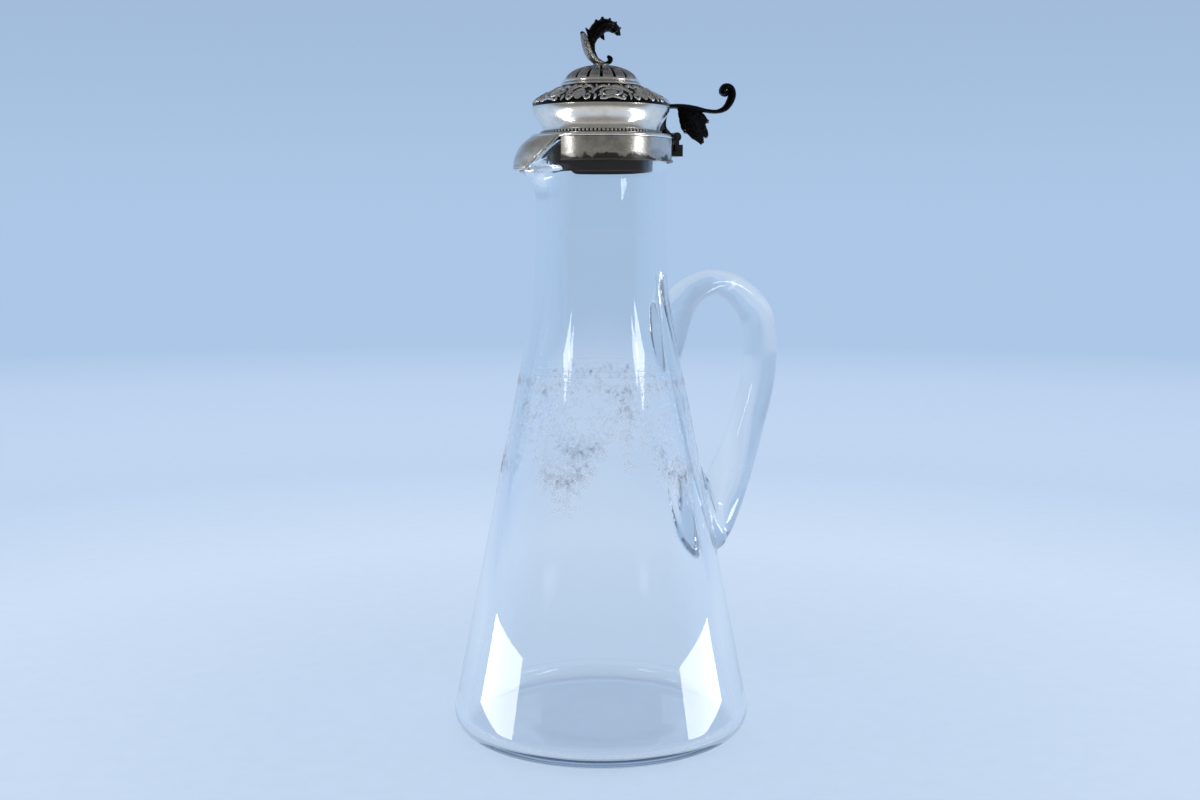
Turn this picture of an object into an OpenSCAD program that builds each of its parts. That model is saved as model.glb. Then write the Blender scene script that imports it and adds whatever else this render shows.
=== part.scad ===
// Claret jug: a conical glass body with a pulled lip and an applied loop handle,
// a silver collar with a hooded spout, and a hinged silver lid with a thumbpiece.
// +Z is up. The origin is on the axis of the body, on the face that it stands on.
// The spout points along -X; the handle, the hinge and the thumbpiece along +X.

/* [Glass body] */
// Height of the glass, from the table to the rim of its neck
glass_h = 249.4; // [205:0.2:300]
// Radius that the cone would have at the table, before its edge is rounded
foot_r = 65; // [54:0.5:78]
// Outer radius of the neck
neck_r = 27.4; // [22.8:0.1:33]
// Length from the rim down to where the line of the cone would meet the neck
neck_len = 61.4; // [51:0.2:74]
// Radius of the soft bend between cone and neck
shoulder_bend_r = 260; // [210:5:300]
// Rounding of the outer edge of the foot
foot_round = 9; // [6:0.5:11]
// Thickness of the wall beside the floor
foot_wall = 6.4; // [5.2:0.1:7.7]
// Thickness of the wall in the neck
neck_wall = 4.4; // [3.6:0.1:5.3]
// Thickness of the floor along the wall
floor_t = 5.2; // [4.2:0.1:7]
// Radius of the raised middle of the floor
floor_kick_r = 35; // [28:1:42]
// Height of the raised middle of the floor
floor_kick_h = 1.2; // [0.6:0.1:2.5]
// How much the mouth of the neck widens for the lid's sleeve
seat_flare = 0.7; // [0.4:0.05:1]
// Length of the widened mouth
seat_h = 13; // [9:0.5:16]

/* [Handle] */
// Greatest distance of the handle's middle line from the wall of the body
handle_reach = 44; // [37:0.5:53]
// Distance from the rim of the glass down to the top of the handle's middle line
handle_drop = 59; // [50:0.5:71]
// Height of the handle, along its middle line
handle_h = 111; // [93:1:133]
// Scale of the handle's thickness
handle_thickness = 1; // [0.8:0.05:1.2]

/* [Spout] */
// How far the glass lip is pulled out beyond the neck
lip_reach = 8; // [6.6:0.2:9.6]
// How far the rim of the lip dips below the rim of the neck
lip_dip = 10.6; // [8.8:0.2:12.8]
// Height over which the lip flares out
lip_flare_h = 12; // [10:0.5:14.5]
// Upright thickness of the edge of the lip
lip_t = 2.4; // [2:0.1:3]
// Angle to each side of the middle over which the rim dips
lip_half_angle = 34; // [29:1:38]
// Thickness of the silver hood over the lip
hood_t = 0.8; // [0.6:0.1:1]
// How far the hood stands out in front of the glass lip
hood_overhang = 2.9; // [2.4:0.1:3.6]
// Half of the hood's width at its front edge
hood_front_half_w = 5.8; // [4.8:0.1:7]

/* [Collar] */
// Thickness of the plaster between glass and silver
cement_t = 1.2; // [1:0.1:1.5]
// Thickness of the sheet of the band
band_t = 0.8; // [0.6:0.1:1]
// Height of the band
band_h = 8.6; // [7.2:0.1:10]
// Radius of the wire along the lower edge of the band
foot_wire_r = 0.55; // [0.4:0.05:0.7]
// Thickness of the flange
flange_t = 1.8; // [1.4:0.1:2.2]
// How far the flange stands out past the band
flange_overhang = 0.2; // [0.1:0.05:0.4]

/* [Hinge] */
// Distance of the pin from the face of the band
hinge_out = 3.8; // [3.4:0.1:4.6]
// Radius of the pin
pin_r = 0.8; // [0.6:0.05:0.95]
// Radius of the knuckles
barrel_r = 1.9; // [1.7:0.05:2.2]
// Half of the length of the three knuckles
barrel_half_l = 4.2; // [3.6:0.1:5]
// Half of the length of the middle knuckle
middle_half_l = 1.6; // [1.3:0.1:1.9]
// Width of the stop block to each side of the middle
block_half_w = 3.4; // [2.9:0.1:4]
// How far the stop block reaches beyond the pin
block_beyond_pin = 3; // [2.5:0.1:3.6]

/* [Lid] */
// How far the rim of the lid stays inside the flange
lid_inset = 1; // [0.5:0.1:1.8]
// Thickness of the spun sheet
sheet_t = 0.9; // [0.7:0.05:1.1]
// Height of the beaded ring that the lid rests on
foot_ring_h = 1.3; // [1.1:0.1:1.6]
// How far the waist of the lid draws in from its rim
waist_depth = 4.2; // [3.5:0.1:4.6]
// Height of the plain polished part
skirt_h = 9.9; // [8.3:0.1:11.9]
// Height of the part with the scrolls
cover_h = 9.8; // [8.2:0.1:11.8]
// Outer radius of the dome with the lobes
dome_r = 14.9; // [12.5:0.1:17.8]
// Height of the dome
dome_h = 7.3; // [6.1:0.1:8.7]
// Number of lobes on the dome
lobe_count = 16; // [12:1:20]
// Depth of the grooves between the lobes
lobe_depth = 0.7; // [0.4:0.05:0.8]
// Radius of the bead wire around the dome
bead_r = 0.75; // [0.6:0.05:0.9]
// Length of the sleeve that hangs into the neck
sleeve_len = 15.5; // [13:0.1:18.5]
// Thickness of the sleeve
sleeve_t = 0.8; // [0.6:0.05:1]
// Height of the cast finial above the dome
finial_h = 19.7; // [16.4:0.1:23.6]
// Length of the thumbpiece beyond the hinge pin
thumb_len = 29.6; // [24.7:0.1:35.5]

/* [Clearances] */
// Radial clearance of the pin in the middle knuckle
pin_clearance = 0.05; // [0.03:0.01:0.08]
// Gap between the closed lid and the flange
lid_gap = 0.25; // [0.2:0.05:0.4]
// Gap between the knuckles
knuckle_gap = 0.3; // [0.25:0.05:0.4]
// Gap between the sleeve and the mouth of the neck
sleeve_gap = 1.5; // [1.4:0.1:1.9]

/* [Hidden] */

fine = 96;       // facets of the round parts
wire_fine = 24;  // facets of wires and knuckles
tiny = 0.01;
solder = 0.2;    // depth to which soldered and fused pieces run into each other

glass_tint = [0.80, 0.88, 0.95, 0.45];
silver = [0.80, 0.80, 0.78];
dark_silver = [0.22, 0.21, 0.20];
plaster = [0.88, 0.86, 0.80];
brass = [0.75, 0.62, 0.34];

// --- the outline of the glass body ---
shoulder_z = glass_h - neck_len;
cone_slope = (foot_r - neck_r) / shoulder_z;
cone_angle = atan(cone_slope);
bend_len = shoulder_bend_r * tan(cone_angle / 2);
bend_z0 = shoulder_z - bend_len * cos(cone_angle);
bend_z1 = shoulder_z + bend_len;
foot_centre_r = foot_r - cone_slope * foot_round - foot_round * sqrt(1 + pow(cone_slope, 2));
foot_top_z = foot_round * (1 + sin(cone_angle));
bore_r = neck_r - neck_wall;

function clamp01(v) = max(0, min(1, v));
function outer_r(z) =
    z < foot_top_z ? foot_centre_r + sqrt(max(0, pow(foot_round, 2) - pow(foot_round - z, 2)))
    : z < bend_z0 ? foot_r - cone_slope * z
    : z < bend_z1 ? neck_r + shoulder_bend_r - sqrt(pow(shoulder_bend_r, 2) - pow(bend_z1 - z, 2))
    : neck_r;
function wall(z) = foot_wall + (neck_wall - foot_wall) * clamp01((z - foot_top_z) / (bend_z1 - foot_top_z));
function inner_r(z) = outer_r(z) - wall(z);

foot_steps = 8;
bend_steps = 10;
foot_arc = [for (i = [0:foot_steps]) let (a = -90 + (90 + cone_angle) * i / foot_steps)
    [foot_centre_r + foot_round * cos(a), foot_round + foot_round * sin(a)]];
bend_arc = [for (i = [0:bend_steps]) let (z = bend_z0 + (bend_z1 - bend_z0) * i / bend_steps)
    [outer_r(z), z]];

// The glass is turned up to here; above it the lip is pulled out by hand
lip_cut = 0.97;   // share of the quarter round at which the lip's flare is cut off
lip_spread = 45;  // angle to each side over which the neck is drawn out
lip_under_z = glass_h - lip_dip - lip_t;
flare_z0 = lip_under_z - lip_cut * lip_flare_h;
turned_top_z = flare_z0 - 1;

floor_corner = 5;  // inner rounding between floor and wall
floor_corner_z = floor_t + floor_corner;
floor_corner_r = inner_r(floor_corner_z) - floor_corner;
corner_steps = 5;
kick_edge = 6;     // width of the slope around the raised middle of the floor
inner_corner = [for (i = [0:corner_steps]) let (a = -90 + 90 * i / corner_steps)
    [floor_corner_r + floor_corner * cos(a), floor_corner_z + floor_corner * sin(a)]];
inner_steps = 14;
inner_wall = [for (i = [1:inner_steps])
    let (z = floor_corner_z + (bend_z1 - floor_corner_z) * i / inner_steps) [inner_r(z), z]];

// --- the pulled lip: shapes over the angle phi from the spout and the height z ---
rim_power = 2.6;   // how sharply the rim dips towards the spout
lip_sides = 60;
lip_levels = 7;
rim_round = 1.3;
flare_scale = lip_reach / (1 - sqrt(1 - pow(lip_cut, 2)));
function flare(z) = 1 - sqrt(1 - pow(min(clamp01((z - flare_z0) / lip_flare_h), lip_cut), 2));
function lip_weight(phi) = abs(phi) < lip_spread ? pow(cos(90 * phi / lip_spread), 2) : 0;
function rim_z(phi) =
    glass_h - lip_dip * (1 - pow(sin(90 * min(abs(phi), lip_half_angle) / lip_half_angle), rim_power));
function lip_outer_r(phi, z) = neck_r + flare_scale * flare(z) * lip_weight(phi);
function seat_r(z) = bore_r + seat_flare * clamp01((z - glass_h + seat_h) / seat_h);
function lip_inner_r(phi, z) = seat_r(z) + flare_scale * flare(z - lip_t) * lip_weight(phi);

// --- levels and radii of the mount ---
rim_bed = 0.6;     // plaster between the rim of the glass and the flange
flange_z = glass_h + rim_bed;
joint_z = flange_z + flange_t;
band_inner_r = neck_r + cement_t;
band_r = band_inner_r + band_t;
band_z = flange_z - band_h;
flange_r = band_r + flange_overhang;
flange_inner_r = bore_r + seat_flare + rim_bed;
band_gap_angle = lip_half_angle;
cement_gap_angle = lip_spread + 1;

// --- hood ---
hood_half_angle = band_gap_angle - 1.5;
hood_tip_r = neck_r + lip_reach + hood_overhang;
hood_top_z = joint_z - flange_t / 2;
hood_tip_z = rim_z(0) - lip_t / 2;
hood_bulge = 2.3;        // how far the hood swells out from a straight slope
hood_side_drop = 2.2;  // how far its sides hang below its ridge
hood_front_sag = 2.6;  // roundness of its front edge, seen from above
hood_narrowing = 1.6;  // powers that set how it narrows and flattens to the front
hood_flattening = 2.4;
hood_rows = 9;
hood_cols = 12;

// --- hinge ---
hinge_x = band_r + hinge_out;
hinge_z = joint_z + 0.1;
block_top_z = joint_z - 3.1;
block_h = 4.9;
cheek_half_t = 0.9;
pin_head_r = 1.15;
pin_head_t = 0.5;

// --- lid ---
lid_z = joint_z + lid_gap;
skirt_z = lid_z + foot_ring_h;
cover_z = skirt_z + skirt_h;
dome_z = cover_z + cover_h;
lid_r = flange_r - lid_inset;
waist_r = lid_r - waist_depth;
sleeve_r = bore_r + seat_flare - sleeve_gap;
sleeve_taper = 0.7;
sleeve_z = lid_z - sleeve_len;
foot_ring_r = waist_r + 0.9;
cover_top_r = dome_r + 1.3;
cover_lip_t = 0.8;      // inward lip of the cover, which carries the dome
cover_power = 1.15;
dome_wall = sheet_t + lobe_depth;
profile_steps = 12;
finial_base_r = 3.2;
dome_flat_r = finial_base_r + 0.3;
dome_side = 0.5;        // upright edge of the dome below its lobes
dome_rows = 8;
dome_cols = 5 * lobe_count;
function dome_height_at(r) = dome_z + dome_side + (dome_h - dome_side) * sqrt(1 - pow(r / dome_r, 2));
dome_top_z = dome_height_at(dome_flat_r);
stud_r = 1.2;
stud_hole_r = stud_r + 0.1;
washer_r = 3.3;
washer_room = 0.2;  // flat of the dome's inside beyond the washer
washer_t = 0.6;
nut_r = 2.9;
nut_h = 2.2;
nut_z = dome_top_z - sheet_t - washer_t - nut_h;
stud_len = sheet_t + washer_t + nut_h + 0.6;
liner_t = 0.9;
liner_z = lid_z + 0.2;

// --- strap and thumbpiece ---
strap_half_w = 3;
strap_half_t = 0.55;
tongue_x = hinge_x - barrel_r - 0.5;  // where the strap narrows to pass between the knuckles
arm_z = lid_z + 0.2 + strap_half_t;

// --- shapes that several pieces share ---

// A smooth curve through hand-placed keys; each key is a point with its half sizes
function spline_point(a, b, c, d, s) =
    0.5 * (2 * b + (c - a) * s + (2 * a - 5 * b + 4 * c - d) * pow(s, 2)
        + (3 * b - a - 3 * c + d) * pow(s, 3));
function spline(keys, steps) = let (last = len(keys) - 1) [
    for (i = [0:last - 1]) for (j = [0:steps - 1])
        spline_point(keys[max(i - 1, 0)], keys[i], keys[i + 1], keys[min(i + 2, last)], j / steps),
    keys[last]
];

// Points moved sideways from a line in its plane, to the left of its direction
function unit(v) = v / norm(v);
function left_of(line, i) =
    let (d = unit(line[min(i + 1, len(line) - 1)] - line[max(i - 1, 0)])) [-d[1], d[0]];
function beside(line, t) = [for (i = [0:len(line) - 1]) line[i] + t * left_of(line, i)];
function reversed(list) = [for (i = [len(list) - 1:-1:0]) list[i]];
function flat_part(keys) = [for (k = keys) [k[0], k[1]]];

// Faces of a closed skin over rows of points, where each row runs round the shape
function skin_sides(rows, cols) =
    [for (i = [0:rows - 2]) for (j = [0:cols - 1]) let (a = i * cols + j, b = i * cols + (j + 1) % cols)
        each [[a, b, b + cols], [a, b + cols, a + cols]]];
function skin_faces(rows, cols) = concat(
    skin_sides(rows, cols),
    [reversed([for (j = [0:cols - 1]) j])],
    [[for (j = [0:cols - 1]) (rows - 1) * cols + j]]
);
// The same for a bent sheet, whose rows run out over its outside and back over its inside
function sheet_rim(a, cols) = [for (j = [0:cols / 2 - 2])
    each [[a + j, a + j + 1, a + cols - 2 - j], [a + j, a + cols - 2 - j, a + cols - 1 - j]]];
function sheet_faces(rows, cols) = concat(
    skin_sides(rows, cols),
    [for (f = sheet_rim(0, cols)) reversed(f)],
    sheet_rim((rows - 1) * cols, cols)
);

// A bar with an oval section that follows keys [x, z, half thickness, half width] in the plane of the handle
module oval_bar(keys, steps, sides) {
    path = spline(keys, steps);
    line = flat_part(path);
    points = [for (i = [0:len(path) - 1]) let (n = left_of(line, i)) for (j = [0:sides - 1])
        let (a = 360 * j / sides, k = path[i])
        [k[0] + n[0] * k[2] * cos(a), k[3] * sin(a), k[1] + n[1] * k[2] * cos(a)]];
    polyhedron(points, skin_faces(len(path), sides), convexity = 6);
}

// Part of a ring round the neck that leaves a gap to each side of the spout
module open_ring(gap_angle) {
    rotate([0, 0, 180 + gap_angle])
        rotate_extrude(angle = 360 - 2 * gap_angle, $fn = fine)
            children();
}

// The inside of a spun sheet along a line of [radius, height] points, cut level at both ends
function inside_of(line, t) = let (last = len(line) - 1, inside = beside(line, t))
    [for (i = [0:last]) [inside[i][0], i == 0 || i == last ? line[i][1] : inside[i][1]]];
module spun_sheet(line, t) {
    rotate_extrude($fn = fine)
        polygon(concat(line, reversed(inside_of(line, t))));
}

// --- the glass ---

module body_envelope(grow) {
    rotate_extrude($fn = fine)
        polygon(concat(
            [[0, 0]],
            [for (p = foot_arc) p + [grow, 0]],
            [for (p = bend_arc) p + [grow, 0]],
            [[neck_r + grow, turned_top_z], [0, turned_top_z]]
        ));
}

module body_cavity() {
    rotate_extrude($fn = fine)
        polygon(concat(
            [[0, floor_t + floor_kick_h], [floor_kick_r - kick_edge, floor_t + floor_kick_h],
             [floor_kick_r, floor_t]],
            inner_corner,
            inner_wall,
            [[bore_r, glass_h], [0, glass_h]]
        ));
}

// The hand-drawn top of the neck, one closed loop of [radius, height] for each angle from the spout
function lip_section(phi) = let (
        top = rim_z(phi),
        z0 = turned_top_z - 1,
        levels = [for (k = [0:lip_levels]) z0 + (top - rim_round - z0) * sin(90 * k / lip_levels)],
        inset = 0.05,
        r_out = lip_outer_r(phi, top),
        r_in = lip_inner_r(phi, top)
    ) concat(
        [for (z = levels) [lip_outer_r(phi, z) - inset, z]],
        [[r_out - rim_round / 2, top - rim_round / 4], [(r_out + r_in) / 2, top],
         [r_in + rim_round / 2, top - rim_round / 4]],
        reversed([for (z = levels) [lip_inner_r(phi, z) + inset, z]])
    );

module neck_top() {
    sections = [for (i = [0:lip_sides - 1]) lip_section(i * 360 / lip_sides - 180)];
    n = len(sections[0]);
    points = [for (i = [0:lip_sides - 1]) let (phi = i * 360 / lip_sides - 180) for (p = sections[i])
        [-p[0] * cos(phi), -p[0] * sin(phi), p[1]]];
    faces = [for (i = [0:lip_sides - 1]) for (j = [0:n - 1])
        let (i2 = (i + 1) % lip_sides, j2 = (j + 1) % n)
        each [[i * n + j, i * n + j2, i2 * n + j2], [i * n + j, i2 * n + j2, i2 * n + j]]];
    polyhedron(points, faces, convexity = 8);
}

module glass_body() color(glass_tint) union() {
    difference() {
        body_envelope(0);
        body_cavity();
    }
    neck_top();
}

// Keys of the handle: share of the reach out from the wall, share of the height down from the top,
// half thickness, half width
handle_shape = [
    [-0.13, 0.40, 1.0, 2.0], [-0.07, 0.355, 2.0, 3.6], [-0.02, 0.292, 4.0, 5.8], [0.035, 0.212, 6.0, 7.6],
    [0.09, 0.14, 6.9, 8.5], [0.18, 0.078, 6.9, 8.8], [0.34, 0.026, 6.1, 8.5], [0.55, 0, 5.6, 8.2],
    [0.75, 0.02, 6.0, 8.2], [0.91, 0.075, 6.8, 8.4], [1, 0.14, 7.1, 8.5], [0.99, 0.265, 7.1, 8.5],
    [0.92, 0.37, 7.1, 8.6], [0.82, 0.465, 7.2, 8.7], [0.705, 0.555, 7.4, 8.8], [0.58, 0.65, 7.8, 9.2],
    [0.42, 0.755, 8.8, 10.2], [0.24, 0.86, 10.4, 12.5], [0.06, 0.955, 11.5, 14.5], [-0.16, 1.02, 9.0, 12.5],
    [-0.40, 1.05, 5.0, 8.0]
];
handle_top_z = glass_h - handle_drop;
handle_keys = [for (k = handle_shape) let (z = handle_top_z - handle_h * k[1])
    [outer_r(z) + handle_reach * k[0], z, k[2] * handle_thickness, k[3] * handle_thickness]];

module glass_handle() color(glass_tint) difference() {
    oval_bar(handle_keys, 3, 16);
    body_envelope(-solder);
}

// --- the collar ---

module cement_bed() color(plaster) open_ring(cement_gap_angle)
    polygon([
        [neck_r, band_z + cement_t], [band_inner_r, band_z + cement_t], [band_inner_r, flange_z],
        [flange_inner_r, flange_z], [flange_inner_r, glass_h], [neck_r, glass_h]
    ]);

module collar_flange() color(silver) rotate_extrude($fn = fine) union() {
    translate([flange_inner_r, flange_z])
        square([flange_r - flange_t / 2 - flange_inner_r, flange_t]);
    translate([flange_r - flange_t / 2, flange_z + flange_t / 2])
        circle(flange_t / 2, $fn = wire_fine);
}

module collar_band() color(silver) open_ring(band_gap_angle)
    translate([band_inner_r, band_z])
        square([band_t, band_h]);

module collar_foot_wire() color(silver) open_ring(band_gap_angle) intersection() {
    translate([band_r, band_z - foot_wire_r / 2])
        circle(foot_wire_r, $fn = wire_fine);
    translate([band_inner_r, band_z - 2 * foot_wire_r])
        square([2 * foot_wire_r + band_t, 2 * foot_wire_r]);
}

// A point on the hood: u runs across it from -1 to 1, v from the flange to its front edge
hood_root = [flange_r - solder, hood_top_z];
hood_tip = [hood_tip_r, hood_tip_z];
hood_out = unit([hood_root[1] - hood_tip[1], hood_tip[0] - hood_root[0]]);
hood_back_half_w = hood_root[0] * sin(hood_half_angle);
hood_back_sag = hood_root[0] * (1 - cos(hood_half_angle));
function hood_point(u, v) = let (
        ridge = hood_root + (hood_tip - hood_root) * v + hood_out * 4 * hood_bulge * v * (1 - v),
        half_w = hood_back_half_w + (hood_front_half_w - hood_back_half_w) * pow(v, hood_narrowing),
        sag = hood_back_sag + (hood_front_sag - hood_back_sag) * pow(v, hood_flattening)
    ) [-(ridge[0] - sag * pow(u, 2)), half_w * u, ridge[1] - hood_side_drop * sin(180 * v) * pow(u, 2)];
function hood_normal(u, v) = let (d = 0.01)
    unit(cross(hood_point(u, min(v + d, 1)) - hood_point(u, max(v - d, 0)),
        hood_point(u + d, v) - hood_point(u - d, v)));

module spout_hood() color(silver) {
    outer = [for (i = [0:hood_rows]) [for (j = [0:hood_cols])
        hood_point(2 * j / hood_cols - 1, i / hood_rows)]];
    inner = [for (i = [0:hood_rows]) [for (j = [0:hood_cols])
        outer[i][j] - hood_t * hood_normal(2 * j / hood_cols - 1, i / hood_rows)]];
    loops = [for (i = [0:hood_rows]) concat(outer[i], reversed(inner[i]))];
    polyhedron([for (l = loops) each l], sheet_faces(hood_rows + 1, 2 * hood_cols + 2), convexity = 6);
}

// --- the hinge ---

module along_pin(y0, y1) {
    translate([hinge_x, y1, hinge_z])
        rotate([90, 0, 0])
            linear_extrude(y1 - y0)
                children();
}

module hinge_bracket() color(silver) difference() {
    union() {
        translate([0, -block_half_w, block_top_z - block_h])
            cube([hinge_x + block_beyond_pin, 2 * block_half_w, block_h]);
        for (side = [-1, 1]) {
            y0 = side > 0 ? middle_half_l + knuckle_gap : -barrel_half_l;
            y1 = side > 0 ? barrel_half_l : -middle_half_l - knuckle_gap;
            along_pin(y0, y1)
                circle(barrel_r, $fn = fine);
            translate([hinge_x - cheek_half_t, y0, block_top_z - block_h / 2])
                cube([2 * cheek_half_t, y1 - y0, hinge_z - block_top_z + block_h / 2]);
        }
    }
    translate([0, 0, block_top_z - 2 * block_h])
        cylinder(r = band_r, h = 4 * block_h, $fn = fine);
    along_pin(-2 * barrel_half_l, 2 * barrel_half_l)
        circle(pin_r, $fn = fine);
}

module hinge_pin() color(silver) union() {
    along_pin(-barrel_half_l, barrel_half_l)
        circle(pin_r, $fn = fine);
    for (y = [-barrel_half_l - pin_head_t, barrel_half_l])
        along_pin(y, y + pin_head_t)
            circle(pin_head_r, $fn = fine);
}

// --- the lid ---

module lid_foot_ring() color(silver) rotate_extrude($fn = fine) union() {
    translate([sleeve_r, lid_z])
        square([foot_ring_r - foot_ring_h / 2 - sleeve_r, foot_ring_h]);
    translate([foot_ring_r - foot_ring_h / 2, lid_z + foot_ring_h / 2])
        circle(foot_ring_h / 2, $fn = wire_fine);
}

module lid_sleeve() color(silver)
    spun_sheet([[sleeve_r - sleeve_taper, sleeve_z], [sleeve_r, lid_z], [sleeve_r, skirt_z]], sleeve_t);

module lid_liner() color(silver)
    translate([0, 0, liner_z])
        cylinder(r = sleeve_r - sleeve_t, h = liner_t, $fn = fine);

module lid_skirt() color(silver)
    spun_sheet([for (i = [0:profile_steps]) let (t = i / profile_steps)
        [waist_r + waist_depth * pow(sin(90 * t), 2), skirt_z + skirt_h * t]], sheet_t);

module lid_scroll_cover() color(silver) {
    line = [for (i = [0:profile_steps])
        let (t = i / profile_steps, swell = pow(cos(90 * pow(t, cover_power)), 2))
            [cover_top_r + (lid_r - cover_top_r) * swell, cover_z + cover_h * t]];
    inside = reversed(inside_of(line, sheet_t));
    rotate_extrude($fn = fine)
        polygon(concat(
            line,
            [[dome_r - dome_wall, dome_z], [dome_r - dome_wall, dome_z - cover_lip_t]],
            [for (p = inside) if (p[1] < dome_z - cover_lip_t) p]
        ));
}

module lid_bead_ring() color(silver) rotate_extrude($fn = fine) intersection() {
    translate([dome_r + bead_r / 2, dome_z + 0.8 * bead_r])
        circle(bead_r, $fn = wire_fine);
    translate([dome_r, dome_z])
        square(3 * bead_r);
}

// Radius of the lobed dome where its smooth form would have the radius r
function lobed_r(r, a) = r - lobe_depth * (r / dome_r) * pow(abs(cos(lobe_count * a / 2)), 3);

module lid_dome() color(silver) difference() {
    lobed_solid();
    dome_hollow();
    translate([0, 0, dome_z])
        cylinder(r = stud_hole_r, h = 2 * dome_h, $fn = fine);
}

module lobed_solid() {
    top_angle = acos(dome_flat_r / dome_r);
    // each row: a radius, a height, and 1 where the lobes show
    rows = concat(
        [[dome_r, dome_z, 0]],
        [for (i = [0:dome_rows]) let (r = dome_r * cos(top_angle * i / dome_rows))
            [r, dome_height_at(r), i > 0 ? 1 : 0]]
    );
    angles = [for (j = [0:dome_cols - 1]) 360 * j / dome_cols];
    points = [for (row = rows) for (a = angles)
        let (r = row[2] > 0 ? lobed_r(row[0], a) : row[0])
            [r * cos(a), r * sin(a), row[1]]];
    polyhedron(points, skin_faces(len(rows), dome_cols), convexity = 6);
}

module dome_hollow() {
    hollow_r = dome_r - dome_wall;
    hollow_h = dome_h - dome_side - sheet_t;
    rotate_extrude($fn = fine)
        polygon(concat(
            [[0, dome_z - 1], [hollow_r, dome_z - 1]],
            [for (i = [0:dome_rows - 1]) let (a = 90 * i / dome_rows)
                if (hollow_r * cos(a) > washer_r + 2 * washer_room)
                    [hollow_r * cos(a), min(dome_z + dome_side + hollow_h * sin(a), dome_top_z - sheet_t)]],
            [[washer_r + washer_room, dome_top_z - sheet_t], [0, dome_top_z - sheet_t]]
        ));
}

// The strap: an arm over the flange, a brace up to the thumbpiece, and the middle knuckle
module lid_strap() color(silver) {
    arm = [[foot_ring_r - 2 * solder, arm_z], [tongue_x, arm_z]];
    brace = spline([
        [tongue_x, arm_z],
        [lid_r - 0.3, skirt_z + 0.2 * skirt_h],
        [lid_r - 0.6, skirt_z + 0.52 * skirt_h],
        [lid_r + strap_half_t - solder, cover_z - 0.06 * skirt_h],
        [lid_r + strap_half_t, cover_z + 0.1 * cover_h]
    ], 3);
    difference() {
        union() {
            for (line = [arm, brace])
                rotate([90, 0, 0])
                    linear_extrude(2 * strap_half_w, center = true)
                        polygon(concat(beside(line, strap_half_t), reversed(beside(line, -strap_half_t))));
            translate([tongue_x - strap_half_t, -middle_half_l, arm_z - strap_half_t])
                cube([hinge_x - tongue_x + strap_half_t, 2 * middle_half_l, 2 * strap_half_t]);
            along_pin(-middle_half_l, middle_half_l)
                circle(barrel_r, $fn = fine);
        }
        along_pin(-2 * middle_half_l, 2 * middle_half_l)
            circle(pin_r + pin_clearance, $fn = fine);
    }
}

// Keys of the thumbpiece, from the hinge pin: [x, z, half thickness, half width].
// Its root is let into the rim of the scroll cover, wherever the hinge pin stands.
thumb_root = [lid_r - 0.6 - hinge_x, cover_z + 1.05 - hinge_z, 1.0, 3.0];
thumb_bar = [
    thumb_root, [-1.2, 12.9, 1.0, 2.8], [4.3, 13, 1.1, 2.6], [10.3, 12.4, 1.1, 2.2],
    [15.3, 11.6, 0.9, 1.8], [20.6, 11.4, 0.9, 1.8], [24.7, 12.9, 1.1, 2.0], [27.4, 16.2, 1.3, 2.2],
    [28.3, 19.3, 1.3, 2.4], [27.1, 22, 1.2, 2.4], [24.5, 22.4, 1.1, 2.4], [23.1, 20.6, 1.1, 2.3],
    [23.9, 18.9, 1.2, 2.1], [25.2, 19.2, 1.0, 1.6]
];
leaf_lobes = [
    [[3.5, 12.2, 1.6, 1.2], [6.3, 9, 3.6, 2.0], [8.9, 5.4, 4.2, 2.2], [11.5, 1.6, 3.2, 1.8],
     [13.5, -1.6, 1.2, 0.9]],
    [[6.8, 12, 2.0, 1.2], [10.8, 9.4, 2.8, 1.8], [14.3, 7.6, 2.2, 1.5], [16.5, 7.2, 0.8, 0.7]],
    [[9.3, 8, 2.0, 1.4], [12.9, 4.6, 2.6, 1.6], [15.3, 1.6, 1.6, 1.1], [15.9, 0.2, 0.6, 0.6]],
    [[3.9, 10, 1.6, 1.2], [5.2, 6.2, 2.0, 1.6], [5.9, 3.2, 1.7, 1.3], [5.7, 2, 0.7, 0.6]],
    [[7.3, 5, 2.0, 1.4], [8.7, 2.4, 1.9, 1.4], [9.5, 0.4, 0.9, 0.8]]
];
thumb_drawn_len = 29.6;   // length at which the keys are drawn
stretch_x0 = 12.3;        // only the bar beyond the leaf takes up another length
stretch_len = 8;

module thumbpiece() color(dark_silver)
    translate([hinge_x, 0, hinge_z]) {
        extra = thumb_len - thumb_drawn_len;
        bar = [for (k = thumb_bar) k + [extra * clamp01((k[0] - stretch_x0) / stretch_len), 0, 0, 0]];
        oval_bar(bar, 3, 10);
        for (lobe = leaf_lobes)
            oval_bar(lobe, 3, 8);
    }

// Keys of the finial, from the top of the dome: [x, z, half thickness, half width]
finial_spine = [
    [0.6, 1.2, 0.9, 1.8], [-2.8, 2.1, 1.3, 2.2], [-5.4, 4.8, 1.5, 2.4], [-6.9, 8.8, 1.5, 2.4],
    [-7.9, 12.2, 1.1, 2.0], [-8.6, 13.2, 0.6, 1.4]
];
finial_crest = [
    [0.2, 1.2, 0.8, 1.4], [-2.6, 3.2, 1.0, 1.8], [-4.2, 7, 1.2, 2.2], [-4.1, 10.6, 1.6, 2.8],
    [-2.4, 14.4, 2.4, 3.2], [0.8, 17, 2.6, 3.2], [4.4, 17, 2.3, 2.8], [7.2, 15.2, 1.7, 2.0],
    [7.6, 13.2, 0.7, 1.2]
];
finial_tooth = [[-0.6, 14, 1.2, 1.6], [0.4, 12.2, 1.0, 1.2], [1.2, 10.9, 0.4, 0.6]];
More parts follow.
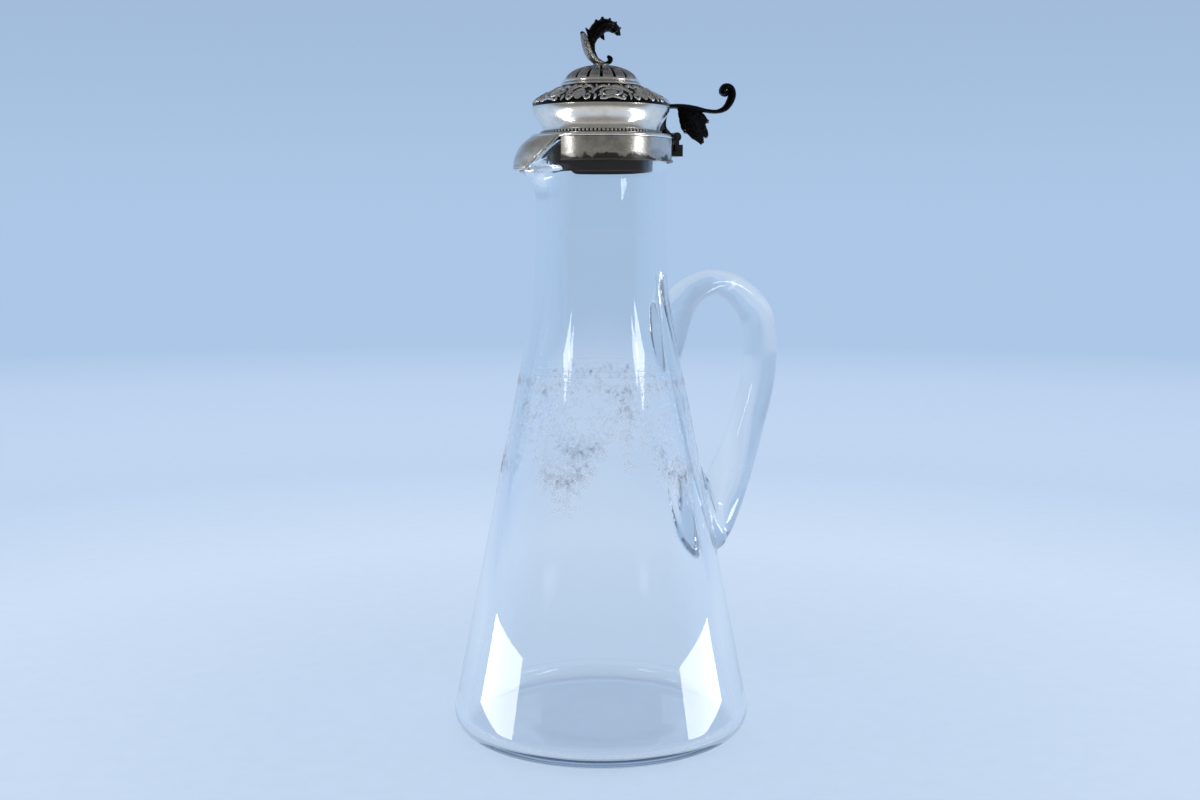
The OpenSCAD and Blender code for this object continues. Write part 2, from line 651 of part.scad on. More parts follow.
finial_curl = [
    [-0.6, 1, 0.8, 1.6], [1.8, 1, 0.8, 1.6], [3.9, 1.9, 0.9, 1.6], [4.2, 3.2, 1.1, 1.5],
    [3.4, 3.9, 0.7, 1.2]
];
finial_drawn_h = 19.7;  // height at which the keys are drawn
finial_base_h = 0.9;

module finial() color(dark_silver) translate([0, 0, dome_top_z]) {
    scale(finial_h / finial_drawn_h)
        for (keys = [finial_spine, finial_crest, finial_tooth, finial_curl])
            oval_bar(keys, 3, 10);
    cylinder(r = finial_base_r, h = finial_base_h, $fn = fine);
    translate([0, 0, -stud_len])
        cylinder(r = stud_r, h = stud_len, $fn = fine);
}

module finial_washer() color(brass) translate([0, 0, nut_z + nut_h]) difference() {
    cylinder(r = washer_r, h = washer_t, $fn = fine);
    translate([0, 0, -1])
        cylinder(r = stud_hole_r, h = washer_t + 2, $fn = fine);
}

module finial_nut() color(brass) translate([0, 0, nut_z]) difference() {
    cylinder(r = nut_r, h = nut_h, $fn = 6);
    translate([0, 0, -1])
        cylinder(r = stud_r, h = nut_h + 2, $fn = fine);
}

// --- what is drawn ---
glass_body();
glass_handle();
cement_bed();
collar_flange();
collar_band();
collar_foot_wire();
spout_hood();
hinge_bracket();
hinge_pin();
lid_foot_ring();
lid_sleeve();
lid_liner();
lid_skirt();
lid_scroll_cover();
lid_bead_ring();
lid_dome();
lid_strap();
thumbpiece();
finial();
finial_washer();
finial_nut();
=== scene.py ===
"""Claret jug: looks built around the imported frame. Lengths in mm inside the shape code, metres in Blender."""

import math

import bpy
import numpy as np
from mathutils import Matrix


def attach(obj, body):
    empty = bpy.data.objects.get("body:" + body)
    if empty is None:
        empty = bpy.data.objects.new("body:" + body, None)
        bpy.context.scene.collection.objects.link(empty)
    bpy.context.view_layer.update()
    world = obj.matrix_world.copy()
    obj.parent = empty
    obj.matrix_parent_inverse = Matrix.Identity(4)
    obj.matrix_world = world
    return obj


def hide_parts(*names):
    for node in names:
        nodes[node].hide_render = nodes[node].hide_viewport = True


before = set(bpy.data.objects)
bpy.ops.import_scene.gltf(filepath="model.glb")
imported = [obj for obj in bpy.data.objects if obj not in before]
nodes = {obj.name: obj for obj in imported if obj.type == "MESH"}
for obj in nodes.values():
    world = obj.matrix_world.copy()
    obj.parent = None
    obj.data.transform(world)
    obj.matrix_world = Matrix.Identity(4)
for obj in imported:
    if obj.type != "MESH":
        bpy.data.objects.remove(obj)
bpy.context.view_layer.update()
rng = np.random.default_rng(7)
MM = 0.001
TAU = 2 * math.pi

# ---- mesh helpers


def add_mesh(name, verts, faces, body, material, normals=None, smooth=True):
    """A new piece from points in mm, riding on a CAD body."""
    mesh = bpy.data.meshes.new(name)
    mesh.from_pydata((np.asarray(verts, float) * MM).tolist(), [], [list(map(int, f)) for f in faces])
    mesh.validate()
    mesh.polygons.foreach_set("use_smooth", [smooth] * len(mesh.polygons))
    if normals is not None:
        mesh.normals_split_custom_set_from_vertices(np.asarray(normals, float).tolist())
    mesh.materials.append(material)
    mesh.update()
    obj = bpy.data.objects.new(name, mesh)
    bpy.context.scene.collection.objects.link(obj)
    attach(obj, body)
    return obj


def set_attribute(obj, name, values):
    attribute = obj.data.attributes.new(name, "FLOAT", "POINT")
    attribute.data.foreach_set("value", np.asarray(values, np.float32))


def grid_faces(rows, cols, wrap_rows, wrap_cols):
    i = np.arange(rows if wrap_rows else rows - 1)
    j = np.arange(cols if wrap_cols else cols - 1)
    i, j = (a.ravel() for a in np.meshgrid(i, j, indexing="ij"))
    i2, j2 = (i + 1) % rows, (j + 1) % cols
    return np.stack([i * cols + j, i2 * cols + j, i2 * cols + j2, i * cols + j2], 1)


def spline(keys, steps):
    """A smooth curve through given keys."""
    keys = np.asarray(keys, float)
    last = len(keys) - 1
    out = []
    for i in range(last):
        a, b, c, d = keys[max(i - 1, 0)], keys[i], keys[i + 1], keys[min(i + 2, last)]
        for s in np.arange(steps) / steps:
            square = (2 * a - 5 * b + 4 * c - d) * s**2
            cube = (3 * b - a - 3 * c + d) * s**3
            out.append(0.5 * (2 * b + (c - a) * s + square + cube))
    out.append(keys[last])
    return np.array(out)


# ---- fields: below zero inside


def bell(x, half):
    return np.exp(-((x / half) ** 2))


def half_round(x):
    """A half circle of height 1 from x = -1 to 1, and 0 outside."""
    return np.sqrt(np.clip(1 - x**2, 0, 1))


def smooth_min(a, b, k):
    """The smaller of two fields, blended over the distance k where they are close."""
    h = np.clip(0.5 + 0.5 * (b - a) / k, 0, 1)
    return b * (1 - h) + a * h - k * h * (1 - h)


def smooth_max(a, b, k):
    return -smooth_min(-a, -b, k)


BAR_STEP, LEAST_STEPS = 0.3, 24
VEIN_HALF, VEIN_LEAN, VEIN_FLAT = 0.35, 0.7, 0.2


def bar_field(keys, blur=4, vein=0.0, vein_gap=1.3):
    """A bar with an oval section along keys (x, z, half thickness, half width) in the XZ plane."""
    path = spline(keys, 24)
    arc = np.concatenate([[0], np.cumsum(np.hypot(*np.diff(path[:, :2], axis=0).T))])
    n = max(LEAST_STEPS, int(arc[-1] / BAR_STEP))
    even = np.linspace(0, arc[-1], n)
    path = np.stack([np.interp(even, arc, path[:, k]) for k in range(4)], 1)
    for _ in range(blur):
        path[1:-1] = (path[:-2] + 2 * path[1:-1] + path[2:]) / 4
    step = arc[-1] / (n - 1)
    tangent = np.gradient(path[:, :2], axis=0)
    tangent /= np.linalg.norm(tangent, axis=1)[:, None]
    coarse = np.arange(0, n, 4)

    def field(p):
        q = p[:, (0, 2)]
        gap = ((q[:, None, :] - path[None, coarse, :2]) ** 2).sum(2)
        u = coarse[gap.argmin(1)].astype(float)
        for _ in range(5):
            i = np.minimum(u.astype(int), n - 2)
            w = (u - i)[:, None]
            here = path[i] * (1 - w) + path[i + 1] * w
            along = tangent[i] * (1 - w) + tangent[i + 1] * w
            off = q - here[:, :2]
            u = np.clip(u + np.clip((off * along).sum(1) / step, -3, 3), 0, n - 1)
        along /= np.linalg.norm(along, axis=1)[:, None]
        dt = (off * along).sum(1)
        dn = off[:, 1] * along[:, 0] - off[:, 0] * along[:, 1]
        size = np.stack([here[:, 2], here[:, 3], here[:, 2]], 1)
        local = np.stack([dn, p[:, 1], dt], 1)
        k0 = np.linalg.norm(local / size, axis=1)
        k1 = np.linalg.norm(local / size**2, axis=1) + 1e-9
        value = k0 * (k0 - 1) / k1
        if vein:
            phase = u * step / vein_gap + VEIN_LEAN * np.abs(dn) / vein_gap
            side_veins = np.maximum(np.cos(TAU * phase) - VEIN_FLAT, 0)
            thick = here[:, 2] > 0.9
            value = value + vein * bell(dn, VEIN_HALF) + 0.5 * vein * side_veins * thick
        return value

    return field


def surface_net(field, low, high, step):
    """Closed quad mesh of a field's zero surface, with its points moved onto it and its true normals."""
    axes = [np.arange(a, b + step, step) for a, b in zip(low, high)]
    shape = tuple(len(a) for a in axes)
    value = np.empty(shape, np.float32)
    yy, zz = (a.ravel() for a in np.meshgrid(axes[1], axes[2], indexing="ij"))
    for i, x in enumerate(axes[0]):
        value[i] = field(np.stack([np.full(yy.size, x), yy, zz], 1)).reshape(shape[1:])
    inside = value < 0
    count = sum(
        inside[i : shape[0] - 1 + i, j : shape[1] - 1 + j, k : shape[2] - 1 + k].astype(np.int8)
        for i in (0, 1) for j in (0, 1) for k in (0, 1)
    )
    cells = np.argwhere((count > 0) & (count < 8))
    index = np.full(count.shape, -1)
    index[tuple(cells.T)] = np.arange(len(cells))
    total = np.zeros((len(cells), 3))
    hits = np.zeros(len(cells))
    for axis in range(3):
        unit = np.eye(3, dtype=int)[axis]
        others = [k for k in range(3) if k != axis]
        for a in (0, 1):
            for b in (0, 1):
                corner = cells.copy()
                corner[:, others[0]] += a
                corner[:, others[1]] += b
                v0, v1 = value[tuple(corner.T)], value[tuple((corner + unit).T)]
                crossed = (v0 < 0) != (v1 < 0)
                t = v0[crossed] / (v0[crossed] - v1[crossed])
                total[crossed] += corner[crossed] + t[:, None] * unit
                hits[crossed] += 1
    points = np.asarray(low) + step * total / hits[:, None]
    faces = []
    for axis in range(3):
        one, two = (axis + 1) % 3, (axis + 2) % 3
        u, v = np.eye(3, dtype=int)[one], np.eye(3, dtype=int)[two]
        s0 = inside.take(range(shape[axis] - 1), axis)
        s1 = inside.take(range(1, shape[axis]), axis)
        edges = np.argwhere(s0 != s1)
        ok = (edges[:, one] > 0) & (edges[:, two] > 0)
        ok &= (edges[:, one] < shape[one] - 1) & (edges[:, two] < shape[two] - 1)
        edges = edges[ok]
        quad = np.stack([index[tuple((edges - d).T)] for d in (0 * u, u, u + v, v)], 1)
        out = s0[tuple(edges.T)]
        quad[~out] = quad[~out][:, ::-1]
        faces.append(quad)
    faces = np.concatenate(faces)
    eps = 0.3 * step

    def gradient(p):
        g = np.stack([field(p + eps * e) - field(p - eps * e) for e in np.eye(3)], 1)
        return g / (2 * eps)

    for _ in range(3):
        g = gradient(points)
        move = field(points) / np.maximum((g**2).sum(1), 0.05)
        points = points - np.clip(move, -0.5 * step, 0.5 * step)[:, None] * g
    g = gradient(points)
    return points, faces, g / np.linalg.norm(g, axis=1)[:, None]


# ---- the glass
GLASS_H, NECK_R, FOOT_R, SHOULDER_Z = 249.4, 27.4, 65.0, 188.0
FOOT_ROUND, BORE_R, FLOOR_T = 9.0, 23.0, 5.2
BEND_R = 260.0
SLOPE = (FOOT_R - NECK_R) / SHOULDER_Z
TILT = math.atan(SLOPE)
BEND_LEN = BEND_R * math.tan(TILT / 2)
BEND_Z0, BEND_Z1 = SHOULDER_Z - BEND_LEN * math.cos(TILT), SHOULDER_Z + BEND_LEN
FOOT_C = FOOT_R - SLOPE * FOOT_ROUND - FOOT_ROUND * math.hypot(1, SLOPE)
FOOT_TOP = FOOT_ROUND * (1 + math.sin(TILT))
FOOT_WALL, NECK_WALL = 6.4, 4.4
LIP_DIP, LIP_T, LIP_REACH, FLARE_H, LIP_CUT = 10.6, 2.4, 8.0, 12.0, 0.97
LIP_HALF, LIP_SPREAD, RIM_POWER = 34.0, 45.0, 2.6
FLARE_Z0 = GLASS_H - LIP_DIP - LIP_T - LIP_CUT * FLARE_H
FLARE_SCALE = LIP_REACH / (1 - math.sqrt(1 - LIP_CUT**2))
SEAT_FLARE, SEAT_H = 0.7, 13.0


def outer_r(z):
    """Radius of the glass outside, at a height: rounded foot, cone, bend and neck."""
    z = np.asarray(z, float)
    foot = FOOT_C + np.sqrt(np.maximum(0, FOOT_ROUND**2 - (FOOT_ROUND - z) ** 2))
    bend = NECK_R + BEND_R - np.sqrt(BEND_R**2 - np.clip(BEND_Z1 - z, 0, BEND_Z1 - BEND_Z0) ** 2)
    return np.where(z < FOOT_TOP, foot, np.where(z < BEND_Z0, FOOT_R - SLOPE * z, bend))


def flare(z):
    """How far the lip is pulled out at a height, in units of its scale."""
    return 1 - np.sqrt(1 - np.clip((z - FLARE_Z0) / FLARE_H, 0, LIP_CUT) ** 2)


def lip_weight(phi):
    """Share of the lip's pull at an angle in degrees from the middle of the spout."""
    return np.where(np.abs(phi) < LIP_SPREAD, np.cos(np.radians(90 * phi / LIP_SPREAD)) ** 2, 0)


def rim_z(phi):
    share = np.minimum(np.abs(phi), LIP_HALF) / LIP_HALF
    return GLASS_H - LIP_DIP * (1 - np.sin(np.radians(90 * share)) ** RIM_POWER)


INNER_SLOPE = SLOPE + (NECK_WALL - FOOT_WALL) / (BEND_Z1 - FOOT_TOP)
INNER_CORNER = 3.4
KICK_R, KICK_H, KICK_SOFT = 40.0, 0.4, 17.0
CORNER_Z = FLOOR_T + INNER_CORNER


def side_slope(z):
    drop = np.clip(BEND_Z1 - z, 0, BEND_Z1 - BEND_Z0)
    return -drop / np.sqrt(BEND_R**2 - drop**2)


def side_r(z):
    """The outer profile with the line of the cone carried on down to the table."""
    drop = np.clip(BEND_Z1 - z, 0, BEND_Z1 - BEND_Z0)
    return np.where(z < BEND_Z0, FOOT_R - SLOPE * z, NECK_R + BEND_R - np.sqrt(BEND_R**2 - drop**2))


def inner_wall(z):
    return FOOT_WALL + (NECK_WALL - FOOT_WALL) * np.minimum((z - FOOT_TOP) / (BEND_Z1 - FOOT_TOP), 1)


CORNER_R = float(side_r(CORNER_Z) - inner_wall(CORNER_Z)) - INNER_CORNER * math.hypot(1, INNER_SLOPE)


def outer_field(r, z):
    field = (r - side_r(z)) / np.hypot(1, side_slope(z))
    across, up = r - FOOT_C, z - FOOT_ROUND
    turned = np.arctan2(up, across)
    rounded = (turned >= -math.pi / 2) & (turned <= TILT)
    field = np.where(rounded, np.hypot(across, up) - FOOT_ROUND, field)
    return np.where((up < 0) & (across < 0), -z, field)


def cavity_field(r, z):
    """The hollow inside, with its rounded corner and slightly raised floor."""
    slope = side_slope(z) + np.where(z < BEND_Z1, (FOOT_WALL - NECK_WALL) / (BEND_Z1 - FOOT_TOP), 0)
    field = (r - side_r(z) + inner_wall(z)) / np.hypot(1, slope)
    share = np.clip((KICK_R - r) / KICK_SOFT, 0, 1)
    floor = FLOOR_T + KICK_H * (0.5 - 0.5 * np.cos(math.pi * share))
    across, up = r - CORNER_R, z - CORNER_Z
    turned = np.arctan2(up, across)
    rounded = (turned >= -math.pi / 2) & (turned <= math.atan(INNER_SLOPE))
    field = np.where(rounded, np.hypot(across, up) - INNER_CORNER, field)
    return np.where((up < 0) & (across < 0), floor - z, field)


HANDLE_TOP, HANDLE_REACH, HANDLE_H = GLASS_H - 59, 44.0, 111.0
HANDLE_SHAPE = [
    (-0.13, 0.40, 1.0, 2.0), (-0.07, 0.355, 2.0, 3.6), (-0.02, 0.292, 4.0, 5.8), (0.035, 0.212, 6.0, 7.6),
    (0.09, 0.14, 6.9, 8.5), (0.18, 0.078, 6.9, 8.8), (0.34, 0.026, 6.1, 8.5), (0.55, 0, 5.6, 8.2),
    (0.75, 0.02, 6.0, 8.2), (0.91, 0.075, 6.8, 8.4), (1, 0.14, 7.1, 8.5), (0.99, 0.265, 7.1, 8.5),
    (0.92, 0.37, 7.1, 8.6), (0.82, 0.465, 7.2, 8.7), (0.705, 0.555, 7.4, 8.8), (0.58, 0.65, 7.8, 9.2),
    (0.42, 0.755, 8.8, 10.2), (0.24, 0.86, 10.0, 11.5), (0.06, 0.955, 10.5, 12.0), (-0.16, 1.02, 9.0, 12.5),
    (-0.40, 1.05, 5.0, 8.0),
]
handle_keys = [(float(outer_r(HANDLE_TOP - HANDLE_H * d)) + HANDLE_REACH * o, HANDLE_TOP - HANDLE_H * d, t, w)
               for o, d, t, w in HANDLE_SHAPE]
handle_field = bar_field(handle_keys, blur=8)


# the foot of the handle is an oval pad pressed on the body
PAD_Z, PAD_UP, PAD_SIDE, PAD_OUT, PAD_ROUND = 97.0, 18.0, 15.0, 2.2, 2.2
PAD_BLEND, ROOT_BLEND, RIM_ROUND = 9.0, 0.8, 2.2
LIP_ZONE_Z, DELTA = 222, 0.1
# the handle's field is worked out only inside this box
HANDLE_X, HANDLE_HALF_Y, HANDLE_LOW_Z, HANDLE_HIGH_Z = 18, 20, 60, 202


def pad_field(p):
    x, y, z = p.T
    r = np.hypot(x, y)
    tilt = math.hypot(1, SLOPE)
    up = (z - PAD_Z) * tilt
    side = outer_r(PAD_Z) * np.arctan2(y, x)
    edge = (np.hypot(up / PAD_UP, side / PAD_SIDE) - 1) * PAD_SIDE
    over = np.abs(r - (FOOT_R - SLOPE * z)) / tilt - PAD_OUT
    return smooth_max(edge, over, PAD_ROUND)


def glass_field(p):
    x, y, z = p.T
    r = np.hypot(x, y)
    phi = np.degrees(np.arctan2(y, -x))
    outer = outer_field(r, z)
    cavity = cavity_field(r, z)
    top = z > LIP_ZONE_Z
    if top.any():
        rt, zt, ft = r[top], z[top], phi[top]
        weight = lip_weight(ft) * FLARE_SCALE
        slope = weight * (flare(zt + DELTA) - flare(zt - DELTA)) / (2 * DELTA)
        outer[top] = (rt - NECK_R - weight * flare(zt)) / np.hypot(1, slope)
        seat = BORE_R + SEAT_FLARE * np.clip((zt - GLASS_H + SEAT_H) / SEAT_H, 0, 1)
        slope = weight * (flare(zt - LIP_T + DELTA) - flare(zt - LIP_T - DELTA)) / (2 * DELTA)
        cavity[top] = (rt - seat - weight * flare(zt - LIP_T)) / np.hypot(1, slope)
    near = (x > HANDLE_X) & (np.abs(y) < HANDLE_HALF_Y) & (z > HANDLE_LOW_Z) & (z < HANDLE_HIGH_Z)
    if near.any():
        foot = smooth_min(pad_field(p[near]), handle_field(p[near]), PAD_BLEND)
        outer[near] = smooth_min(outer[near], foot, ROOT_BLEND)
    both = np.maximum(outer, -cavity)
    if top.any():
        both[top] = smooth_max(both[top], zt - rim_z(ft), RIM_ROUND)
    return both


# ---- materials


def set_inputs(node, values):
    for name, value in values.items():
        node.inputs[name].default_value = value


def new_material(name, values):
    mat = bpy.data.materials.new(name)
    mat.use_nodes = True
    tree = mat.node_tree
    shader = tree.nodes["Principled BSDF"]
    set_inputs(shader, values)
    return mat, tree, shader


def add_node(tree, kind, values=None):
    node = tree.nodes.new("ShaderNode" + kind)
    set_inputs(node, values or {})
    return node


def link(tree, a, b):
    tree.links.new(a, b)


def math_node(tree, op, a, b=None, clamp=False):
    n = add_node(tree, "Math")
    n.operation = op
    n.use_clamp = clamp
    for socket, value in zip(n.inputs, (a, b)):
        if value is None:
            continue
        if isinstance(value, (int, float)):
            socket.default_value = value
        else:
            link(tree, value, socket)
    return n.outputs[0]


def noise(tree, scale, detail=4.0, rough=0.55, stretch=None):
    coord = add_node(tree, "TexCoord").outputs["Object"]
    if stretch is not None:
        mapping = add_node(tree, "Mapping", {"Scale": stretch})
        link(tree, coord, mapping.inputs["Vector"])
        coord = mapping.outputs["Vector"]
    n = add_node(tree, "TexNoise", {"Scale": scale, "Detail": detail, "Roughness": rough})
    link(tree, coord, n.inputs["Vector"])
    return n.outputs["Fac"]


def remap(tree, value, a, b, c, d):
    n = add_node(tree, "MapRange", {"From Min": a, "From Max": b, "To Min": c, "To Max": d})
    link(tree, value, n.inputs["Value"])
    return n.outputs["Result"]


def mix_colour(tree, factor, a, b):
    """A colour from a to b; each is three numbers or a socket."""
    n = add_node(tree, "Mix")
    n.data_type = "RGBA"
    link(tree, factor, n.inputs["Factor"])
    for socket, value in ((n.inputs[6], a), (n.inputs[7], b)):
        if isinstance(value, tuple):
            socket.default_value = value + (1.0,)
        else:
            link(tree, value, socket)
    return n.outputs[2]


def bump(tree, shader, height, distance, strength=1.0):
    n = add_node(tree, "Bump", {"Distance": distance, "Strength": strength})
    link(tree, height, n.inputs["Height"])
    link(tree, n.outputs["Normal"], shader.inputs["Normal"])


MOST_TURNS = 5.5  # a ray with more turns behind it goes straight on through the glass
SOME = 0.5  # a count above this is at least one


def times(tree, a, b):
    return math_node(tree, "MULTIPLY", a, b)


def direct_ray(tree, path):
    """1 for rays from the camera, mirrored or bent by glass, and 0 for those that only bring light."""
    seen = math_node(tree, "MAXIMUM", path["Is Camera Ray"], path["Is Glossy Ray"])
    return math_node(tree, "MAXIMUM", seen, path["Is Transmission Ray"])


def mirrored_ray(tree, path):
    """1 for rays that were turned by anything else than passing through glass."""
    turns = math_node(tree, "SUBTRACT", path["Ray Depth"], path["Transmission Depth"])
    return math_node(tree, "GREATER_THAN", turns, SOME)


def glass_material():
    values = {"Base Color": (0.985, 0.995, 1.0, 1), "Roughness": 0.0, "IOR": 1.52, "Transmission Weight": 1.0}
    mat, tree, shader = new_material("clear_glass", values)
    swirl = noise(tree, 38, 2.0, 0.4, (1, 1, 0.35))
    bump(tree, shader, swirl, 0.0004, 0.3)
    tint = add_node(tree, "VolumeAbsorption", {"Color": (0.72, 0.84, 0.95, 1), "Density": 6.0})
    out = tree.nodes["Material Output"]
    link(tree, tint.outputs[0], out.inputs["Volume"])
    clear = add_node(tree, "BsdfTransparent", {"Color": (0.93, 0.96, 0.98, 1)})
    path = add_node(tree, "LightPath").outputs
    mix = add_node(tree, "MixShader")
    deep = math_node(tree, "GREATER_THAN", path["Ray Depth"], MOST_TURNS)
    link(tree, math_node(tree, "MAXIMUM", path["Is Shadow Ray"], deep), mix.inputs[0])
    link(tree, shader.outputs[0], mix.inputs[1])
    link(tree, clear.outputs[0], mix.inputs[2])
    link(tree, mix.outputs[0], out.inputs["Surface"])
    return mat


def etched_material():
    """Frosted glass surface: a thin milky film that lets most light through."""
    mat, tree, shader = new_material("etched_glass", {"Alpha": 0.15})
    cloud = noise(tree, 420, 5.0, 0.7)
    link(tree, mix_colour(tree, cloud, (0.70, 0.80, 0.95), (0.90, 0.95, 1.0)), shader.inputs["Base Color"])
    link(tree, remap(tree, cloud, 0.3, 0.7, 0.28, 0.50), shader.inputs["Roughness"])
    bump(tree, shader, cloud, 0.00005, 0.6)
    return mat


def silver_material(name, colour, dark, patina, rough, attribute=None, low_edge=None):
    """Metal tarnished in patches, darker where attribute is low and below a height in metres; the attribute
    holds patina in hollows, painted shade and a painted highlight.
    """
    mat, tree, shader = new_material(name, {"Metallic": 1.0})
    patches = noise(tree, 160, 6.0, 0.6)
    tarnish_and_painted_light = remap(tree, patches, 0.45, 0.75, 0.0, patina)
    if attribute:
        node = add_node(tree, "Attribute")
        node.attribute_name = attribute
        # on some pieces the attribute also holds painted shade and a painted highlight, not only patina
        cloudy = times(tree, math_node(tree, "SUBTRACT", patches, 0.5), 0.5)
        patina_and_painted_light = math_node(tree, "ADD", node.outputs["Fac"], cloudy)
        deep = remap(tree, patina_and_painted_light, 0.2, 0.62, 1.0, 0.0)
        tarnish_and_painted_light = math_node(tree, "MAXIMUM", tarnish_and_painted_light, deep)
    if low_edge:
        split = add_node(tree, "SeparateXYZ")
        link(tree, add_node(tree, "TexCoord").outputs["Object"], split.inputs[0])
        ragged = times(tree, math_node(tree, "SUBTRACT", patches, 0.5), 0.012)
        height = math_node(tree, "ADD", split.outputs["Z"], ragged)
        low = remap(tree, height, low_edge, low_edge + 0.0012, 0.95, 0.0)
        tarnish_and_painted_light = math_node(tree, "MAXIMUM", tarnish_and_painted_light, low)
    link(tree, mix_colour(tree, tarnish_and_painted_light, colour, dark), shader.inputs["Base Color"])
    fine = noise(tree, 900, 3.0, 0.7, (1, 1, 6))
    grain = remap(tree, fine, 0.3, 0.7, rough, rough + 0.12)
    dulled = times(tree, tarnish_and_painted_light, 0.1)
    link(tree, math_node(tree, "ADD", grain, dulled, True), shader.inputs["Roughness"])
    bump(tree, shader, fine, 0.00002, 0.6)
    return mat


def plain_material(name, a, b, rough, scale, metallic=0.0, depth=0.0001):
    mat, tree, shader = new_material(name, {"Metallic": metallic})
    n = noise(tree, scale, 5.0, 0.6)
    link(tree, mix_colour(tree, n, a, b), shader.inputs["Base Color"])
    link(tree, remap(tree, n, 0.3, 0.7, rough, rough + 0.15), shader.inputs["Roughness"])
    bump(tree, shader, n, depth, 0.5)
    return mat


SILVER = (0.83, 0.81, 0.77)
BLACKENED = (0.012, 0.012, 0.014)
# the band is coloured darker below this height in metres
BAND_DARK, DARK_EDGE_Z = (0.05, 0.048, 0.046), 0.2418
glass = glass_material()
etch = etched_material()
polished = silver_material("polished_silver", SILVER, (0.34, 0.32, 0.29), 0.30, 0.12)
band_silver = silver_material("worn_silver", (0.62, 0.61, 0.58), BAND_DARK, 0.6, 0.15, None, DARK_EDGE_Z)
relief = silver_material("chased_silver", (0.72, 0.71, 0.68), BLACKENED, 0.25, 0.17, "height")
# the sleeve and liner inside the neck are coloured nearly black all over
sleeve_mat = silver_material("near_black_silver", (0.010, 0.012, 0.018), (0.003, 0.003, 0.004), 0.8, 0.06)
cast = silver_material("oxidised_silver", (0.42, 0.41, 0.39), (0.006, 0.006, 0.007), 0.6, 0.24, "height")
black_cast = silver_material("blackened_silver", (0.012, 0.012, 0.013), (0.005, 0.005, 0.006), 0.9, 0.14)
hood_silver = silver_material("brushed_silver", (0.78, 0.76, 0.70), (0.16, 0.15, 0.14), 0.45, 0.24)
dome_silver = silver_material("lobed_silver", (0.52, 0.51, 0.50), BLACKENED, 0.35, 0.16, "height")
plaster = plain_material("plaster", (0.80, 0.78, 0.72), (0.62, 0.59, 0.53), 0.75, 300)
brass = plain_material("brass", (0.72, 0.58, 0.30), (0.50, 0.38, 0.18), 0.3, 400, 1.0, 0.00002)

KEPT_NODES = {
    "cement_bed": plaster,
    "collar_flange": polished,
    "collar_band": band_silver,
    "collar_foot_wire": band_silver,
    "hinge_bracket": black_cast,
    "hinge_pin": black_cast,
    "lid_sleeve": sleeve_mat,
    "lid_liner": sleeve_mat,
    "lid_bead_ring": polished,
    "lid_strap": black_cast,
    "finial_washer": brass,
    "finial_nut": brass,
}
for node_name, finish in KEPT_NODES.items():
    for material_slot in nodes[node_name].material_slots:
        material_slot.material = finish

# ---- glass piece
net_step = 1.15
glass_low, glass_high = (-66, -66, -2.3), (90, 66, 252)
points, faces, normals = surface_net(glass_field, glass_low, glass_high, net_step)
jug_glass = add_mesh("glass_jug", points, faces, "jug", glass, normals)
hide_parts("glass_body", "glass_handle")

# ---- etched garland
VIEW_TURN = -113.0  # direction of the photograph's camera, in degrees around the axis
ETCH_LIFT, ETCH_T, LEAF_SCALE = 0.03, 0.05, 1.4
HANDLE_CLEAR, PAD_TOP_Z, ROOT_LOW_Z = 15.0, 128.0, 147.0
LEAF_EDGE = [(0, 0.02), (0.25, 0.36), (0.55, 0.48), (0.8, 0.30), (1.0, 0.02), (0.5, 0.07)]
LINES, LINE_CHIPS, STEM_W = ((156.2, 0.45), (154.0, 0.3)), 150, 0.3
BORDER_PARTS, BORDER_Z, BORDER_LEAF_Z = 60, 150.2, 149.6
SWAGS, SWAG_START, SWAG_PITCH, SWAG_HALF = 5, -21, 72, 36
SWAG_TOP_Z, SWAG_POWER, SWAG_STEPS, MM_PER_DEGREE = 146.0, 2.2, 24, 0.625
SPRAY_Z = 111.5
SPRAY = [
    (-13, 3.5, 3.0), (-6.5, 0.8, 3.5), (0, -2.6, 4.0), (6.5, 0.8, 3.5), (12.5, 4.5, 3.0),
    (2.5, 3.8, 2.6), (-3.5, 5.0, 2.4), (2, -8.4, 2.6),
]
DROP_Z, DROP_STEP, DROP_STEPS = 144, 1.5, 18
SPRIGS, SPRIG_SAG, SPRIG_GAP, SPRIG_TOP_Z = 26, 30, 5, 144
etch_verts, etch_faces = [], []


def on_glass(turn, z, lift):
    """A point over the outer glass, from an angle in degrees and a height."""
    tilt = math.hypot(1, SLOPE)
    r = FOOT_R - SLOPE * z + lift / tilt
    return (r * math.cos(math.radians(turn)), r * math.sin(math.radians(turn)), z + lift * SLOPE / tilt)


def etch_patch(outline):
    """A thin closed chip on the glass inside an outline of (turn, z) points."""
    middle_turn = sum(t for t, _ in outline) / len(outline)
    middle_z = sum(z for _, z in outline) / len(outline)
    near_handle = abs((middle_turn + 180) % 360 - 180) < HANDLE_CLEAR
    if near_handle and (middle_z < PAD_TOP_Z or middle_z > ROOT_LOW_Z):
        return
    base, n = len(etch_verts), len(outline)
    for lift in (ETCH_LIFT, ETCH_LIFT + ETCH_T):
        etch_verts.extend(on_glass(t, z, lift) for t, z in outline)
    etch_faces.append(list(range(base + n, base + 2 * n)))
    etch_faces.append(list(range(base + n - 1, base - 1, -1)))
    for k in range(n):
        m = (k + 1) % n
        etch_faces.append([base + k, base + m, base + n + m, base + n + k])


def place(turn, z, heading, along, across):
    """A point along and across a heading, in mm, from (turn, z) on the glass."""
    dx = along * math.cos(heading) - across * math.sin(heading)
    dz = along * math.sin(heading) + across * math.cos(heading)
    return (turn + math.degrees(dx / (FOOT_R - SLOPE * z)), z + dz)


